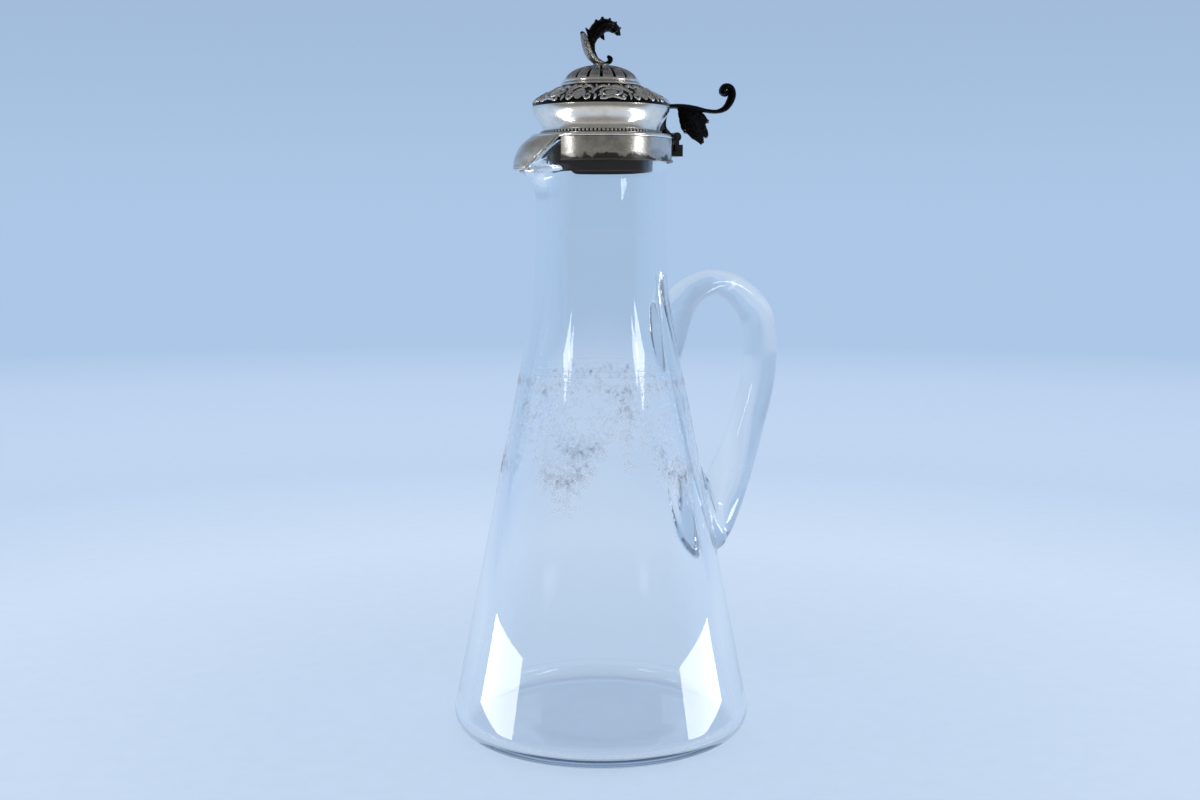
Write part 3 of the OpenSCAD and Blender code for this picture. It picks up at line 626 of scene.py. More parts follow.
def etch_leaf(turn, z, heading, length, width):
    """A leaf of two halves with a gap along its rib."""
    length, width = LEAF_SCALE * length, LEAF_SCALE * width
    for side in (1, -1):
        line = [place(turn, z, heading, a * length, side * b * width) for a, b in LEAF_EDGE]
        etch_patch(line if side < 0 else line[::-1])


def etch_flower(turn, z, radius, petals, spin):
    for k in range(petals):
        heading = spin + TAU * k / petals
        start = place(turn, z, heading, 0.28 * radius, 0)
        etch_leaf(start[0], start[1], heading, 0.75 * radius, 0.62 * radius)
    ring = [place(turn, z, TAU * k / 7, 0.2 * radius, 0) for k in range(7)]
    etch_patch(ring)


def etch_stem(path, width):
    """Short strips along a line of (turn, z) points."""
    for (t0, z0), (t1, z1) in zip(path[:-1], path[1:]):
        r = FOOT_R - SLOPE * z0
        heading = math.atan2(z1 - z0, math.radians(t1 - t0) * r)
        a, b = place(t0, z0, heading, 0, width / 2), place(t0, z0, heading, 0, -width / 2)
        c, d = place(t1, z1, heading, 0, -width / 2), place(t1, z1, heading, 0, width / 2)
        etch_patch([a, b, c, d])


def etch_line(z, width):
    for k in range(LINE_CHIPS):
        t0, t1 = 360 * k / LINE_CHIPS, 360 * (k + 0.999) / LINE_CHIPS
        etch_patch([(t0, z - width / 2), (t1, z - width / 2), (t1, z + width / 2), (t0, z + width / 2)])


def jitter(amount):
    return float(rng.uniform(-amount, amount))


def etch_border():
    """Two lines, and leaves and blossoms below them."""
    for z, width in LINES:
        etch_line(z, width)
    for k in range(BORDER_PARTS):
        turn = 360 / BORDER_PARTS * k + jitter(0.7)
        etch_flower(turn, BORDER_Z + jitter(1.2), 1.8 + jitter(0.5), 6, jitter(1))
        for _ in range(7):
            spot = (turn + jitter(3.2), BORDER_LEAF_Z + jitter(3.8))
            etch_leaf(*spot, jitter(3.1), 2.0 + jitter(0.8), 1.0 + jitter(0.3))


def swag_z(share, sag):
    """Height of a hanging line; share runs along it from -1 to 1."""
    return SWAG_TOP_Z - sag * (1 - abs(share) ** SWAG_POWER)


def etch_strand(low, sag, blossoms):
    """A hanging stem; its leaves are larger towards the lowest point."""
    path = []
    for k in range(2 * SWAG_STEPS + 1):
        share = -1 + k / SWAG_STEPS
        path.append((low + SWAG_HALF * share, swag_z(share, sag)))
    etch_stem(path, STEM_W)
    for k in range(1, 2 * SWAG_STEPS, 2):
        (t0, z0), (turn, z), (t1, z1) = path[k - 1 : k + 2]
        size = 1.0 - 0.45 * abs(k / SWAG_STEPS - 1)
        heading = math.atan2(z1 - z0, MM_PER_DEGREE * (t1 - t0))
        for side in (1, -1):
            lean = heading + side * (0.9 + jitter(0.3))
            etch_leaf(turn, z, lean, (2.6 + jitter(0.5)) * size, 1.15 * size)
        if blossoms and k % 4 == 3:
            etch_flower(turn, z - 1.5, 2.0 * size, 5, jitter(1))


def etch_spray(low):
    """Blossoms at the lowest point of a swag."""
    for dx, dz, radius in SPRAY:
        turn, z = low + dx, SPRAY_Z + dz
        etch_flower(turn, z + jitter(0.4), radius, 6, jitter(1))
        for k in range(5):
            start = place(turn, z, TAU * k / 5 + jitter(0.3), radius * 0.95, 0)
            etch_leaf(*start, TAU * k / 5 + jitter(0.5), 2.6 + jitter(0.6), 1.2)


def etch_drop(middle):
    """A stem that hangs where two swags meet."""
    stem = [(middle + 0.8 * math.sin(0.5 * k), DROP_Z - DROP_STEP * k) for k in range(DROP_STEPS)]
    etch_stem(stem, STEM_W)
    for k, (turn, z) in enumerate(stem[1:-1:2]):
        for side in (1, -1):
            lean = -1.57 + side * (0.95 + jitter(0.2))
            etch_leaf(turn, z, lean, 3.4 - 0.18 * k + jitter(0.4), 1.4)
    for z, radius, spin in ((139.5, 2.8, 0.2), (131.5, 2.4, 0.5)):
        etch_flower(middle, z, radius, 6, spin)
    etch_flower(*stem[-1], 2.2, 5, 0.1)


def etch_sprigs(low):
    """Loose sprigs between the border and a swag."""
    for _ in range(SPRIGS):
        turn = low + jitter(30)
        least = swag_z((turn - low) / SWAG_HALF, SPRIG_SAG) + SPRIG_GAP
        z = float(rng.uniform(least, SPRIG_TOP_Z)) if least < SPRIG_TOP_Z else SPRIG_TOP_Z - 1
        spin = jitter(3.1)
        for k in range(3):
            etch_leaf(turn, z, spin + 2.1 * k, 2.0 + jitter(0.5), 0.95)


def make_garland():
    etch_border()
    for swag in range(SWAGS):
        low = VIEW_TURN + SWAG_START + SWAG_PITCH * swag
        etch_strand(low, 33.0, True)
        etch_strand(low, 27.0, False)
        etch_spray(low)
        etch_drop(low + SWAG_HALF)
        etch_sprigs(low)


make_garland()
add_mesh("etched_garland", etch_verts, etch_faces, "jug", etch, smooth=False)

# ---- silver shapes
LID_R, WAIST_R, SKIRT_Z, COVER_Z, DOME_Z = 28.6, 24.4, 253.35, 263.25, 273.05
SKIRT_H, COVER_H, COVER_TOP_R, SHEET_T = 9.9, 9.8, 16.2, 0.9
DOME_R, DOME_SIDE, DOME_RISE, LOBES = 14.9, 0.5, 6.8, 16
FOOT_RING_R, FOOT_RING_IN, FOOT_RING_Z0 = 25.3, 22.25, 252.05


def line_normals(line):
    along = np.gradient(line, axis=0)
    along /= np.linalg.norm(along, axis=1)[:, None]
    return np.stack([along[:, 1], -along[:, 0]], 1)


def lathe(name, skin, back, heights, columns, node, material):
    """A closed turned shell: skin rows are lifted by heights(angles, row share), back rows close it."""
    turn = TAU * np.arange(columns) / columns
    out = line_normals(skin)
    share = np.linspace(0, 1, len(skin))
    lift = np.array([heights(turn, s) if heights else 0 * turn for s in share])
    r = skin[:, :1] + out[:, :1] * lift
    z = skin[:, 1:] + out[:, 1:] * lift
    r = np.concatenate([r, np.repeat(back[:, :1], columns, 1)])
    z = np.concatenate([z, np.repeat(back[:, 1:], columns, 1)])
    verts = np.stack([r * np.cos(turn), r * np.sin(turn), z], 2).reshape(-1, 3)
    faces = grid_faces(len(r), columns, True, True)[:, ::-1]
    obj = add_mesh(name, verts, faces, "lid", material)
    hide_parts(node)
    flat = np.concatenate([lift, np.zeros((len(back), columns))]).ravel()
    return obj, flat


# the plain rolled skirt
SKIRT_ROWS, SKIRT_COLUMNS = 61, 288
skirt_share = np.linspace(0, 1, SKIRT_ROWS)
skirt_r = WAIST_R + (LID_R - WAIST_R) * np.sin(math.pi / 2 * skirt_share) ** 2
skirt_line = np.stack([skirt_r, SKIRT_Z + SKIRT_H * skirt_share], 1)
skirt_back = (skirt_line - SHEET_T * line_normals(skirt_line) * np.array([1, 0]))[::-4]
lathe("skirt_shell", skirt_line, skirt_back, None, SKIRT_COLUMNS, "lid_skirt", polished)

# the chased cover: its ornament is drawn over a sixth of the circle, as (degrees, part up the slope of
# COVER_SPAN, half width)
ARCH = [
    (-22.3, 3.6, 0.4), (-23.9, 4.4, 0.5), (-25.4, 3.2, 0.55), (-24.4, 1.8, 0.6), (-21.8, 1.7, 0.65),
    (-20.2, 3.4, 0.75), (-19.4, 5.8, 0.8), (-17.6, 7.6, 0.85), (-15, 8.3, 0.9), (-12.4, 7.6, 0.85),
    (-10.6, 5.8, 0.8), (-9.8, 3.4, 0.75), (-8.2, 1.7, 0.65), (-5.6, 1.8, 0.6), (-4.6, 3.2, 0.55),
    (-6.1, 4.4, 0.5), (-7.7, 3.6, 0.4),
]
CRADLE = [
    (3.0, 3.2, 0.35), (4.6, 4.0, 0.5), (6.0, 3.0, 0.55), (4.9, 1.7, 0.55), (7.8, 1.5, 0.6),
    (11, 2.1, 0.65), (15, 2.4, 0.7), (19, 2.1, 0.65), (22.2, 1.5, 0.6), (25.1, 1.7, 0.55),
    (24.0, 3.0, 0.55), (25.4, 4.0, 0.5), (27.0, 3.2, 0.35),
]
OVER_OVAL = [
    (-2.4, 5.2, 0.5), (-1.0, 8.4, 0.75), (3.0, 10.9, 0.9), (8.0, 12.1, 0.85), (12.4, 11.5, 0.6),
    (13.6, 10.1, 0.4),
]
OVER_ARCH = [
    (-15, 10.3, 0.5), (-18.6, 12.2, 0.8), (-22.8, 12.0, 0.85), (-26.2, 9.8, 0.75), (-26.8, 7.2, 0.6),
    (-25.0, 6.0, 0.5), (-23.6, 7.1, 0.35),
]
LEAFLETS = [
    [(-0.4, 1.4, 0.5), (0.2, 3.0, 0.8), (-0.6, 4.6, 0.3)],
    [(-29.6, 1.4, 0.4), (-29.0, 3.0, 0.7), (-29.8, 4.8, 0.2)],
    [(0.4, 11.6, 0.3), (-0.4, 12.8, 0.6), (-1.6, 13.6, 0.3)],
    [(-29.4, 10.0, 0.4), (-29.8, 12.0, 0.8), (-29.0, 13.6, 0.3)],
    [(-15, 11.6, 0.3), (-15, 13.2, 0.6), (-15, 14.4, 0.2)],
    [(15, 11.4, 0.4), (15, 13.0, 0.7), (15, 14.3, 0.2)],
]
OVAL_TURN, OVAL_L, OVAL_A, OVAL_B, OVAL_LEAN = 15.0, 6.4, 4.2, 3.2, 0.10
GROUND_DEPTH, RELIEF_GAIN, STROKE_SCALE = 0.35, 1.2, 0.76
RIM_SHADE = 1.5  # how far up the slope it stays dark under the scrolls
OVAL_RIM_H, OVAL_RIM_HALF, BOSS_H, BOSS_SHARE = 0.62, 0.55, 0.5, 0.6
WINDOW_TURN, WINDOW_UP, WINDOW_A, WINDOW_B = -15.0, 4.1, 1.9, 2.6
CORD_UP, CORD_HALF, EDGE_FADE, SUNK = 15.3, 0.45, 0.35, 0.1
PATTERN_TURN, PATTERN_WIDTH = 35, 60
NEIGHBOURS = (-PATTERN_WIDTH, 0, PATTERN_WIDTH)
COVER_ROWS, COVER_CURVE, COVER_SPAN = 79, 1.15, 16.0
cover_columns = 960


def mirrored(path, middle):
    return [(2 * middle - a, b, w) for a, b, w in path]


strokes = [ARCH, CRADLE, OVER_OVAL, mirrored(OVER_OVAL, OVAL_TURN), OVER_ARCH]
strokes += [mirrored(OVER_ARCH, WINDOW_TURN)] + LEAFLETS
fine_strokes = [spline(path, 6) * np.array([1, 1, STROKE_SCALE]) for path in strokes]
cover_share = np.linspace(0, 1, COVER_ROWS)
cover_r = COVER_TOP_R + (LID_R - COVER_TOP_R) * np.cos(math.pi / 2 * cover_share**COVER_CURVE) ** 2
cover_line = np.stack([cover_r, COVER_Z + COVER_H * cover_share], 1)
cover_len = np.concatenate([[0], np.cumsum(np.linalg.norm(np.diff(cover_line, axis=0), axis=1))])


def scroll_height(turn, share):
    """Height of the chased ornament in mm around one row of the cover."""
    r = float(np.interp(share, cover_share, cover_line[:, 0]))
    up = float(np.interp(share, cover_share, cover_len)) * COVER_SPAN / cover_len[-1]
    deg = (np.degrees(turn) - VIEW_TURN + PATTERN_TURN) % PATTERN_WIDTH - PATTERN_WIDTH / 2
    mm = math.radians(1) * r
    height = np.full(turn.shape, -GROUND_DEPTH)
    for path in fine_strokes:
        for whole in NEIGHBOURS:
            gap = np.hypot((deg[:, None] - path[None, :, 0] - whole) * mm, up - path[None, :, 1])
            near = gap.argmin(1)
            half = path[near, 2]
            reach = gap[np.arange(len(near)), near] / half
            round_top = half_round(reach) * half * RELIEF_GAIN
            crease = 0.28 * half * bell(reach, 0.22) * (half > 0.55)
            height = np.maximum(height, np.where(reach < 1, round_top - crease - SUNK, -GROUND_DEPTH))
    for whole in NEIGHBOURS:
        dx = (deg - OVAL_TURN - whole) * mm
        dz = up - OVAL_L - OVAL_LEAN * dx
        ring = np.hypot(dx / OVAL_A, dz / OVAL_B)
        rim = OVAL_RIM_H * half_round((ring - 1) * OVAL_B / OVAL_RIM_HALF)
        boss = np.where(ring < BOSS_SHARE, BOSS_H * half_round(ring / BOSS_SHARE), 0)
        shape = np.maximum(rim, boss)
        height = np.maximum(height, np.where(shape > 0.01, shape - SUNK, -GROUND_DEPTH))
        window = np.hypot((deg - WINDOW_TURN - whole) * mm / WINDOW_A, (up - WINDOW_UP) / WINDOW_B)
        height = np.maximum(height, np.where(window < 1, 0.08 + 0.12 * (1 - window), -GROUND_DEPTH))
    cord = 0.9 * CORD_HALF * half_round((up - CORD_UP) / CORD_HALF)
    height = np.maximum(height, np.where(cord > 0.02, cord - 0.05, -GROUND_DEPTH))
    ends = np.clip(min(up, COVER_SPAN - up) / EDGE_FADE, 0, 1)
    return np.where(ends < 1, height * ends, height)


cover_back = (cover_line - SHEET_T * line_normals(cover_line))[::-8]
cover, heights = lathe(
    "chased_cover", cover_line, cover_back, scroll_height, cover_columns, "lid_scroll_cover", relief
)
tone = np.clip((heights + GROUND_DEPTH) / 0.55, 0, 1).reshape(-1, cover_columns)
tone[:COVER_ROWS] *= np.clip(cover_len * COVER_SPAN / cover_len[-1] / RIM_SHADE, 0.15, 1)[:, None]
set_attribute(cover, "height", tone.ravel())

# the lobed dome
DOME_ROWS, DOME_COLUMNS, DOME_END = 48, 576, 0.985
DOME_IN_R, DOME_IN_RISE = DOME_R - 1.6, DOME_RISE - 1.1
dome_turn = np.linspace(0, math.pi / 2 * DOME_END, DOME_ROWS)
dome_top = [DOME_R * np.cos(dome_turn), DOME_Z + DOME_SIDE + DOME_RISE * np.sin(dome_turn)]
dome_line = np.concatenate([[[DOME_R, DOME_Z]], np.stack(dome_top, 1)])


def lobe_height(turn, share):
    """Lobes with a groove between two and a thin line along each."""
    up = np.clip(share / 0.10, 0, 1) * np.clip((1 - share) / 0.30, 0, 1) ** 0.6
    phase = (turn * LOBES / TAU) % 1
    edge = np.minimum(phase, 1 - phase)
    groove = -1.05 * bell(edge, 0.085) - 0.25 * bell(edge, 0.2)
    rib = -0.42 * bell(phase - 0.5, 0.055)
    return (groove + rib + 0.25 * np.sin(math.pi * phase)) * up


back_turn = dome_turn[::-4]
dome_back = [DOME_IN_R * np.cos(back_turn), DOME_Z + DOME_SIDE + DOME_IN_RISE * np.sin(back_turn)]
dome_back = np.concatenate([np.stack(dome_back, 1), [[DOME_IN_R, DOME_Z]]])
dome, heights = lathe("lobed_dome", dome_line, dome_back, lobe_height, DOME_COLUMNS, "lid_dome", dome_silver)
set_attribute(dome, "height", np.clip(0.95 + heights / 0.55, 0, 1))

# the milled ring that the lid rests on
RING_ROWS, RING_COLUMNS, MILLS, WIRE_R = 15, 768, 96, 0.65
ring_turn = np.linspace(-math.pi / 2, math.pi / 2, RING_ROWS)
ring_r = FOOT_RING_R - WIRE_R + WIRE_R * np.cos(ring_turn)
ring_line = np.stack([ring_r, FOOT_RING_Z0 + WIRE_R + WIRE_R * np.sin(ring_turn)], 1)
ring_back = np.array([[FOOT_RING_IN, FOOT_RING_Z0 + 2 * WIRE_R], [FOOT_RING_IN, FOOT_RING_Z0]])


def mill_height(turn, share):
    phase = (turn * MILLS / TAU) % 1
    return -0.32 * bell(np.minimum(phase, 1 - phase), 0.22) * math.sin(math.pi * share)


ring, heights = lathe("milled_ring", ring_line, ring_back, mill_height, RING_COLUMNS, "lid_foot_ring", relief)
set_attribute(ring, "height", np.clip(0.8 + heights / 0.2, 0, 1))

# the hood over the lip
HOOD_ROOT, HOOD_TIP = np.array([29.4, 250.9]), np.array([38.3, 237.6])
HOOD_BACK_W, HOOD_FRONT_W, HOOD_BACK_SAG, HOOD_FRONT_SAG = 15.8, 5.8, 4.6, 2.6
HOOD_BULGE, HOOD_DROP, HOOD_T = 2.3, 2.2, 0.8
NOTCHES = (0.36, 0.60, 0.84)
NOTCH_CUT, NOTCH_HALF = 0.055, 0.022
HOOD_ROWS = 73


def hood_point(u, v, sink):
    """A point of the hood: u from side to side and v from root to tip, sunk by the sheet's thickness."""
    along = HOOD_TIP - HOOD_ROOT
    out = np.array([-along[1], along[0]]) / np.hypot(*along)
    ridge = HOOD_ROOT + along * v + out * (4 * HOOD_BULGE * v * (1 - v) - sink)
    half_w = HOOD_BACK_W + (HOOD_FRONT_W - HOOD_BACK_W) * v**1.6 - 0.6 * sink
    sag = HOOD_BACK_SAG + (HOOD_FRONT_SAG - HOOD_BACK_SAG) * v**2.4
    bite = sum(NOTCH_CUT * bell(v - k, NOTCH_HALF) for k in NOTCHES)
    w = u * (1 - bite * abs(u) ** 6)
    bead = 0.28 * bell(abs(u) - 0.95, 0.05) + 0.25 * bell(v - 0.965, 0.03)
    radial = ridge + out * (bead if sink == 0 else 0)
    return (-(radial[0] - sag * w * w), half_w * w, radial[1] - HOOD_DROP * math.sin(math.pi * v) * w * w)


def make_hood():
    us, vs = np.linspace(-1, 1, HOOD_ROWS), np.linspace(0, 1, HOOD_ROWS)
    top = [hood_point(u, v, 0) for v in vs for u in us]
    low = [hood_point(u, v, HOOD_T) for v in vs for u in us]
    n, m = len(vs), len(us)
    faces = [list(f) for f in grid_faces(n, m, False, False)]
    faces += [[i + n * m for i in reversed(f)] for f in faces]
    rim = list(range(m)) + [i * m + m - 1 for i in range(1, n)]
    rim += [(n - 1) * m + j for j in range(m - 2, -1, -1)]
    rim += [i * m for i in range(n - 2, 0, -1)]
    for k, i in enumerate(rim):
        j = rim[(k + 1) % len(rim)]
        faces.append([j, i, i + n * m, j + n * m])
    return top + low, faces


hood_verts, hood_faces = make_hood()
hood = add_mesh("hood_shell", hood_verts, hood_faces, "jug", hood_silver)
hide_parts("spout_hood")

# ---- cast finial and thumbpiece
DOME_TOP_Z = 280.16
HINGE_X, HINGE_Z = 33.2, 251.9


def union(fields, blend):
    def field(p):
        value = fields[0](p)
        for other in fields[1:]:
            value = smooth_min(value, other(p), blend)
        return value
    return field


def moved(field, x, z):
    def there(p):
        return field(p - np.array([x, 0, z]))
    return there


def disc_field(radius, half_t, x, z):
    def field(p):
        q = p - np.array([x, 0, z])
        return np.maximum(np.hypot(q[:, 0], q[:, 1]) - radius, np.abs(q[:, 2]) - half_t)
    return field


SPINE = [
    (.6, 1.2, .9, 1.8), (-2.8, 2.1, 1.3, 2.2), (-5.4, 4.8, 1.5, 2.4), (-6.9, 8.8, 1.5, 2.4),
    (-7.9, 12.2, 1.1, 2), (-8.6, 13.2, .6, 1.4),
]
CREST = [
    (.2, 1.2, .8, 1.4), (-2.6, 3.2, 1, 1.8), (-4.2, 7, 1.2, 2.2), (-4.1, 10.6, 2.1, 2.6),
    (-2.2, 14.0, 3.0, 3.0), (.8, 16.3, 2.9, 3.2), (4.2, 16.3, 2.4, 2.8), (6.7, 14.9, 1.9, 2.2),
    (7.6, 13.6, 1.1, 1.5),
]
TOOTH = [
    (-.6, 14, 1.2, 1.6), (.4, 12.2, 1, 1.2), (1.2, 10.9, .4, .6),
]
CURL = [
    (-.6, 1, .8, 1.6), (1.8, 1, .8, 1.6), (3.9, 1.9, .9, 1.6), (4.2, 3.2, 1.1, 1.5),
    (3.4, 3.9, .7, 1.2),
]
TIPS = [
    [(-4.6, 11.4, .9, 1.6), (-5.6, 13.4, .7, 1.2), (-6.7, 14.9, .35, .6)],
    [(-3.8, 13.2, .9, 1.8), (-4.2, 15.2, .5, .8)],
    [(-2.2, 16, 1.0, 2.0), (-2.2, 18.4, .45, .8)],
    [(.4, 17.6, 1.1, 2.2), (.6, 19.6, .5, .9)],
    [(3.0, 17.6, 1.0, 2.2), (3.9, 19.2, .5, .9)],
    [(5.2, 16.8, 1.0, 2.0), (6.7, 18.0, .45, .8)],
    [(6.8, 15.4, .9, 1.6), (8.7, 15.8, .4, .7)],
    [(7.2, 14.2, .8, 1.4), (8.4, 13.0, .4, .6)],
]
finial_fields = [bar_field(SPINE, vein=0.2, vein_gap=2.6), bar_field(CREST, vein=0.28, vein_gap=3.4)]
finial_fields += [bar_field(TOOTH), bar_field(CURL)] + [bar_field(tip, blur=1) for tip in TIPS]
finial_fields += [disc_field(3.2, 0.45, 0, 0.45)]
finial_field = moved(union(finial_fields, 0.45), 0, DOME_TOP_Z)

BAR = [
    (-5.2, 12.4, 1, 3), (-1.2, 12.9, 1, 2.8), (4.3, 13, 1.1, 2.6), (10.3, 12.4, 1.1, 2.2),
    (15.3, 11.6, .9, 1.8), (20.6, 11.4, .9, 1.8), (24.7, 12.9, 1.3, 2), (27.2, 16.2, 1.6, 2.2),
    (28.0, 19.3, 1.6, 2.4), (26.9, 21.8, 1.4, 2.4), (24.6, 22.2, 1.3, 2.4), (23.3, 20.6, 1.3, 2.3),
    (23.9, 19.0, 1.5, 2.1), (25.2, 19.4, 1.3, 1.6),
]
LEAF = [
    [(3.5, 12.2, 1.6, 1.2), (6.3, 9, 3.6, 2), (8.9, 5.4, 4.2, 2.2), (11.5, 1.6, 3.2, 1.8),
     (13.5, -1.6, 1.2, .9)],
    [(6.8, 12, 2, 1.2), (10.8, 9.4, 2.8, 1.8), (14.3, 7.6, 2.2, 1.5), (16.5, 7.2, .8, .7)],
    [(9.3, 8, 2, 1.4), (12.9, 4.6, 2.6, 1.6), (15.3, 1.6, 1.6, 1.1), (15.9, .2, .6, .6)],
    [(3.9, 10, 1.6, 1.2), (5.2, 6.2, 2, 1.6), (5.9, 3.2, 1.7, 1.3), (5.7, 2, .7, .6)],
    [(7.3, 5, 2, 1.4), (8.7, 2.4, 1.9, 1.4), (9.5, .4, .9, .8)],
]
thumb_fields = [bar_field(BAR, vein=0.1, vein_gap=3.0)]
thumb_fields += [bar_field(lobe, vein=0.34, vein_gap=2.8) for lobe in LEAF]
thumb_field = moved(union(thumb_fields, 0.25), HINGE_X, HINGE_Z)


cast_step = 0.32


def cast_piece(name, node, field, low, high, painted_highlight=None):
    points, faces, normals = surface_net(field, low, high, cast_step)
    obj = add_mesh(name, points, faces, "lid", cast, normals)
    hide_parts(node)
    # lighter on crests and darker in hollows: where the surface turns outward faster than around it
    curve = (field(points + 0.5 * normals) + field(points - 0.5 * normals)) / 0.25
    tone = 0.10 + 0.38 * curve
    if painted_highlight is not None:
        # painted highlight: colour lighter on the surface near the given field
        tone += 0.5 * (painted_highlight(points) < 0.12)
    set_attribute(obj, "height", np.clip(tone, 0, 1))
    return obj


finial_low, finial_high = (-11, -4.5, DOME_TOP_Z - 0.9), (11.5, 4.5, DOME_TOP_Z + 21.5)
# painted highlight: the finial's spine is coloured lighter
spine_painted_highlight = moved(bar_field(SPINE[:5]), 0, DOME_TOP_Z)
cast_piece("finial_cast", "finial", finial_field, finial_low, finial_high, spine_painted_highlight)
thumb_low, thumb_high = (26, -4.3, 247.5), (64.5, 4.3, 278)
cast_piece("thumbpiece_cast", "thumbpiece", thumb_field, thumb_low, thumb_high)

# ---- stage and camera
AZIMUTH = math.radians(-23)
PITCH = math.radians(6.4576)
DISTANCE, EYE_H, LENS = 0.6244, 0.21194, 44.478
SIDE_STEP = 0.00042
LIGHT_AIM_Z = 0.2


def colour_ramp(tree, factor, stops, smooth=True):
    node = add_node(tree, "ValToRGB")
    node.color_ramp.interpolation = "EASE" if smooth else "LINEAR"
    marks = node.color_ramp.elements
    while len(marks) < len(stops):
        marks.new(0.5)
    for mark, (place_at, colour) in zip(marks, stops):
        mark.position = place_at
        mark.color = colour + (1.0,)
    link(tree, factor, node.inputs[0])
    return node.outputs[0]


def turned(tree, vector):
    """The vector in axes fixed by the photograph's camera: X to its right, Y away from it."""
    node = add_node(tree, "VectorRotate", {"Angle": -AZIMUTH})
    node.rotation_type = "Z_AXIS"
    link(tree, vector, node.inputs["Vector"])
    split = add_node(tree, "SeparateXYZ")
    link(tree, node.outputs[0], split.inputs[0])
    return split.outputs


HORIZON = (0.413, 0.571, 0.799)
FLOOR_TONES = [
    (0.0, (0.604, 0.738, 0.922)), (0.06, (0.60, 0.735, 0.92)), (0.16, (0.651, 0.783, 0.965)),
    (0.30, (0.539, 0.680, 0.888)), (0.65, (0.50, 0.645, 0.862)), (0.92, HORIZON), (1.0, HORIZON),
]
GREY_TONES = [(0.12, (0.74, 0.73, 0.70)), (0.24, (0.24, 0.24, 0.24))]
FLOOR_REACH, FLOOR_Z = 2.4, -0.0004


def tinted_floor():
    mat, tree, shader = new_material("floor_paper", {"Roughness": 0.9, "Specular IOR Level": 0.0})
    coord = add_node(tree, "TexCoord").outputs["Object"]
    length = add_node(tree, "VectorMath")
    length.operation = "LENGTH"
    link(tree, coord, length.inputs[0])
    out = math_node(tree, "DIVIDE", length.outputs["Value"], FLOOR_REACH, True)
    tone = colour_ramp(tree, out, FLOOR_TONES, False)
    path = add_node(tree, "LightPath").outputs
    front = remap(tree, turned(tree, coord)["Y"], 0.0, -0.3, 0.0, 1.0)
    grey = times(tree, front, mirrored_ray(tree, path))
    tone = mix_colour(tree, grey, tone, colour_ramp(tree, out, GREY_TONES))
    speck = remap(tree, noise(tree, 90, 6.0, 0.7), 0.3, 0.7, 0.985, 1.015)
    scaled = add_node(tree, "VectorMath")
    scaled.operation = "SCALE"
    link(tree, tone, scaled.inputs[0])
    link(tree, speck, scaled.inputs["Scale"])
    link(tree, scaled.outputs[0], shader.inputs["Base Color"])
    glow = add_node(tree, "Emission")
    link(tree, scaled.outputs[0], glow.inputs["Color"])
    mix = add_node(tree, "MixShader")
    glowing = remap(tree, out, 0.0, 0.4, 0.66, 1.0)
    link(tree, times(tree, direct_ray(tree, path), glowing), mix.inputs[0])
    link(tree, shader.outputs[0], mix.inputs[1])
    link(tree, glow.outputs[0], mix.inputs[2])
    link(tree, mix.outputs[0], tree.nodes["Material Output"].inputs["Surface"])
    return mat


FLOOR_RINGS, FLOOR_COLUMNS = np.geomspace(0.1, 30, 24), 96


def make_floor():
    turns = [TAU * k / FLOOR_COLUMNS for k in range(FLOOR_COLUMNS)]
    verts = [(r * math.cos(t), r * math.sin(t), FLOOR_Z) for r in FLOOR_RINGS for t in turns]
    mesh = bpy.data.meshes.new("floor")
    quads = grid_faces(len(FLOOR_RINGS), FLOOR_COLUMNS, False, True)
    mesh.from_pydata(verts, [], [list(map(int, f)) for f in quads] + [list(range(FLOOR_COLUMNS))])
    mesh.materials.append(tinted_floor())
    obj = bpy.data.objects.new("floor", mesh)
    bpy.context.scene.collection.objects.link(obj)


# what polished metal sees in front of it, by the sine of the height angle
FRONT_TONES = [
    (0.0, (0.27, 0.265, 0.25)), (0.10, (0.20, 0.19, 0.175)), (0.20, (0.26, 0.25, 0.23)),
    (0.25, (0.66, 0.64, 0.58)), (0.31, (0.60, 0.58, 0.54)), (0.38, (0.18, 0.18, 0.175)),
    (0.50, (0.22, 0.22, 0.22)), (0.60, (0.46, 0.46, 0.46)), (0.78, (0.20, 0.20, 0.21)),
    (1.0, (0.08, 0.08, 0.09)),
]
SKY_TONES = [
    (0.0, HORIZON), (0.15, (0.366, 0.503, 0.716)), (0.4, (0.35, 0.47, 0.67)), (1.0, (0.30, 0.41, 0.60)),
]
ROOM_LIGHT = (0.66, 0.70, 0.76, 1.0)


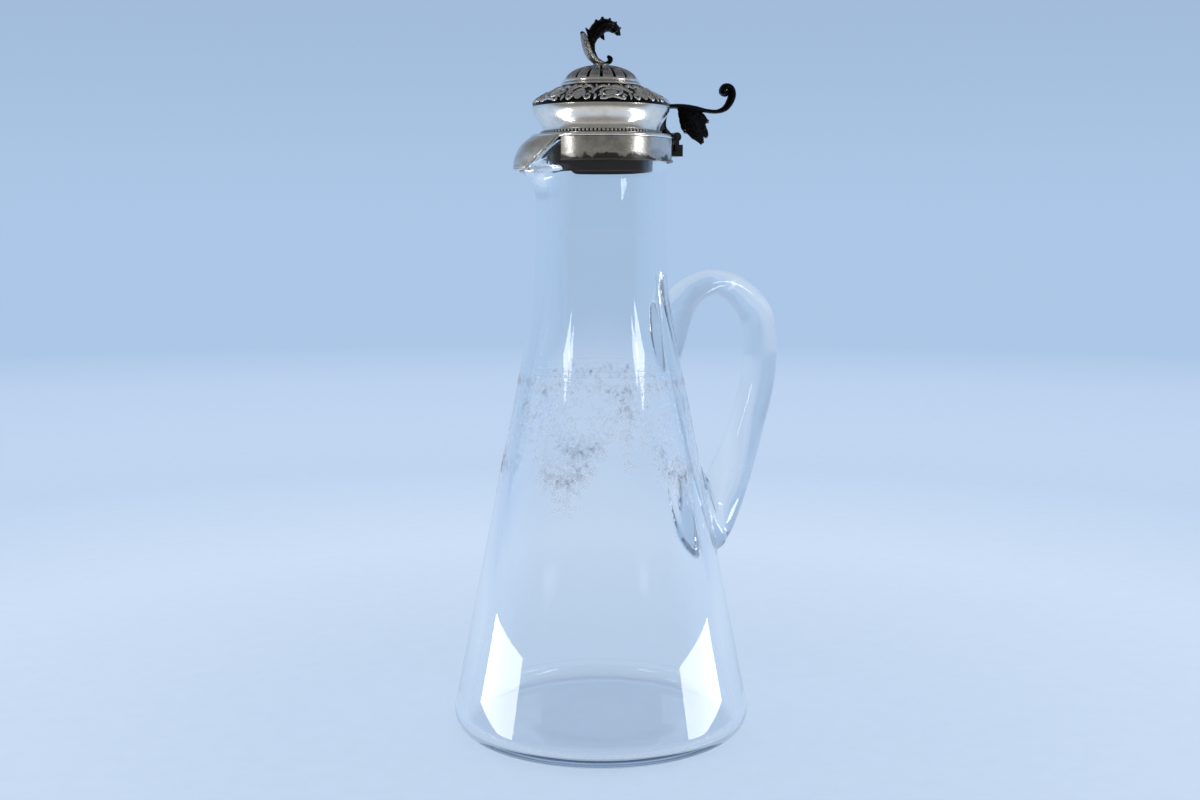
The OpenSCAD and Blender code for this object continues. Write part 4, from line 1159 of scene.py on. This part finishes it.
def make_world():
    world = bpy.data.worlds.new("studio")
    world.use_nodes = True
    bpy.context.scene.world = world
    tree = world.node_tree
    back = tree.nodes["Background"]
    axes = turned(tree, add_node(tree, "TexCoord").outputs["Generated"])
    up = math_node(tree, "MAXIMUM", axes["Z"], 0.0)
    path = add_node(tree, "LightPath").outputs
    sky = colour_ramp(tree, up, SKY_TONES)
    front = remap(tree, axes["Y"], 0.15, -0.35, 0.0, 1.0)
    ceiling = mix_colour(tree, remap(tree, up, 0.35, 0.65, 0.0, 1.0), sky, (0.21, 0.21, 0.22))
    glossy = mix_colour(tree, front, ceiling, colour_ramp(tree, up, FRONT_TONES))
    overhead = remap(tree, up, 0.55, 0.78, 0.0, 0.75)
    through = mix_colour(tree, overhead, sky, (0.13, 0.16, 0.21))
    turned_back = times(tree, front, mirrored_ray(tree, path))
    turned_back = times(tree, turned_back, 0.8)
    through = mix_colour(tree, turned_back, through, (0.07, 0.09, 0.13))
    inside = math_node(tree, "GREATER_THAN", path["Transmission Depth"], SOME)
    seen = mix_colour(tree, path["Is Glossy Ray"], sky, glossy)
    seen = mix_colour(tree, inside, seen, through)
    room = add_node(tree, "RGB")
    room.outputs[0].default_value = ROOM_LIGHT
    link(tree, mix_colour(tree, direct_ray(tree, path), room.outputs[0], seen), back.inputs["Color"])
    set_inputs(back, {"Strength": 1.0})


def area_light(name, right, toward, up, width, height, radiance, facing=None, roll=0.0, glossy_only=False):
    """A softbox placed by metres to the camera's right, towards it and up; it faces the jug unless told."""
    data = bpy.data.lights.new(name, "AREA")
    data.shape = "RECTANGLE"
    data.size, data.size_y = width, height
    data.energy = radiance * math.pi * width * height
    obj = bpy.data.objects.new(name, data)
    side = np.array([math.cos(AZIMUTH), math.sin(AZIMUTH), 0])
    front = np.array([math.sin(AZIMUTH), -math.cos(AZIMUTH), 0])
    where = side * right + front * toward + np.array([0, 0, up])
    aim = np.array([0, 0, LIGHT_AIM_Z]) - where if facing is None else side * facing[0] + front * facing[1]
    aim /= np.linalg.norm(aim)
    across = np.cross(aim, [0, 0, 1])
    across /= np.linalg.norm(across)
    over = np.cross(across, aim)
    turn = math.radians(roll)
    x = across * math.cos(turn) + over * math.sin(turn)
    y = over * math.cos(turn) - across * math.sin(turn)
    obj.matrix_world = Matrix([[x[i], y[i], -aim[i], where[i]] for i in range(3)] + [[0, 0, 0, 1]])
    obj.visible_camera = False
    obj.visible_diffuse = not glossy_only
    obj.visible_transmission = not glossy_only
    bpy.context.scene.collection.objects.link(obj)


def make_camera():
    data = bpy.data.cameras.new("camera")
    data.sensor_width = 36
    data.sensor_fit = "HORIZONTAL"
    data.lens = LENS
    data.clip_start = 0.01
    data.clip_end = 50
    obj = bpy.data.objects.new("camera", data)
    right = np.array([math.cos(AZIMUTH), math.sin(AZIMUTH)])
    away = np.array([math.sin(AZIMUTH), -math.cos(AZIMUTH)])
    spot = DISTANCE * away - SIDE_STEP * right
    obj.location = (spot[0], spot[1], EYE_H)
    obj.rotation_euler = (math.pi / 2 - PITCH, 0, AZIMUTH)
    bpy.context.scene.collection.objects.link(obj)
    bpy.context.scene.camera = obj


make_floor()
make_world()
area_light("box_left", -0.476, 0.365, 0.343, 0.13, 0.080, 8, None, -18)
area_light("box_right", 0.535, 0.272, 0.334, 0.20, 0.076, 8, None, 15)
area_light("strip_left", -0.25, 0.050, 0.026, 0.165, 0.050, 8, (1, 0), 0, True)
area_light("strip_right", 0.25, 0.050, 0.024, 0.175, 0.046, 8, (-1, 0), 0, True)
make_camera()
bpy.context.scene.view_settings.view_transform = "Standard"
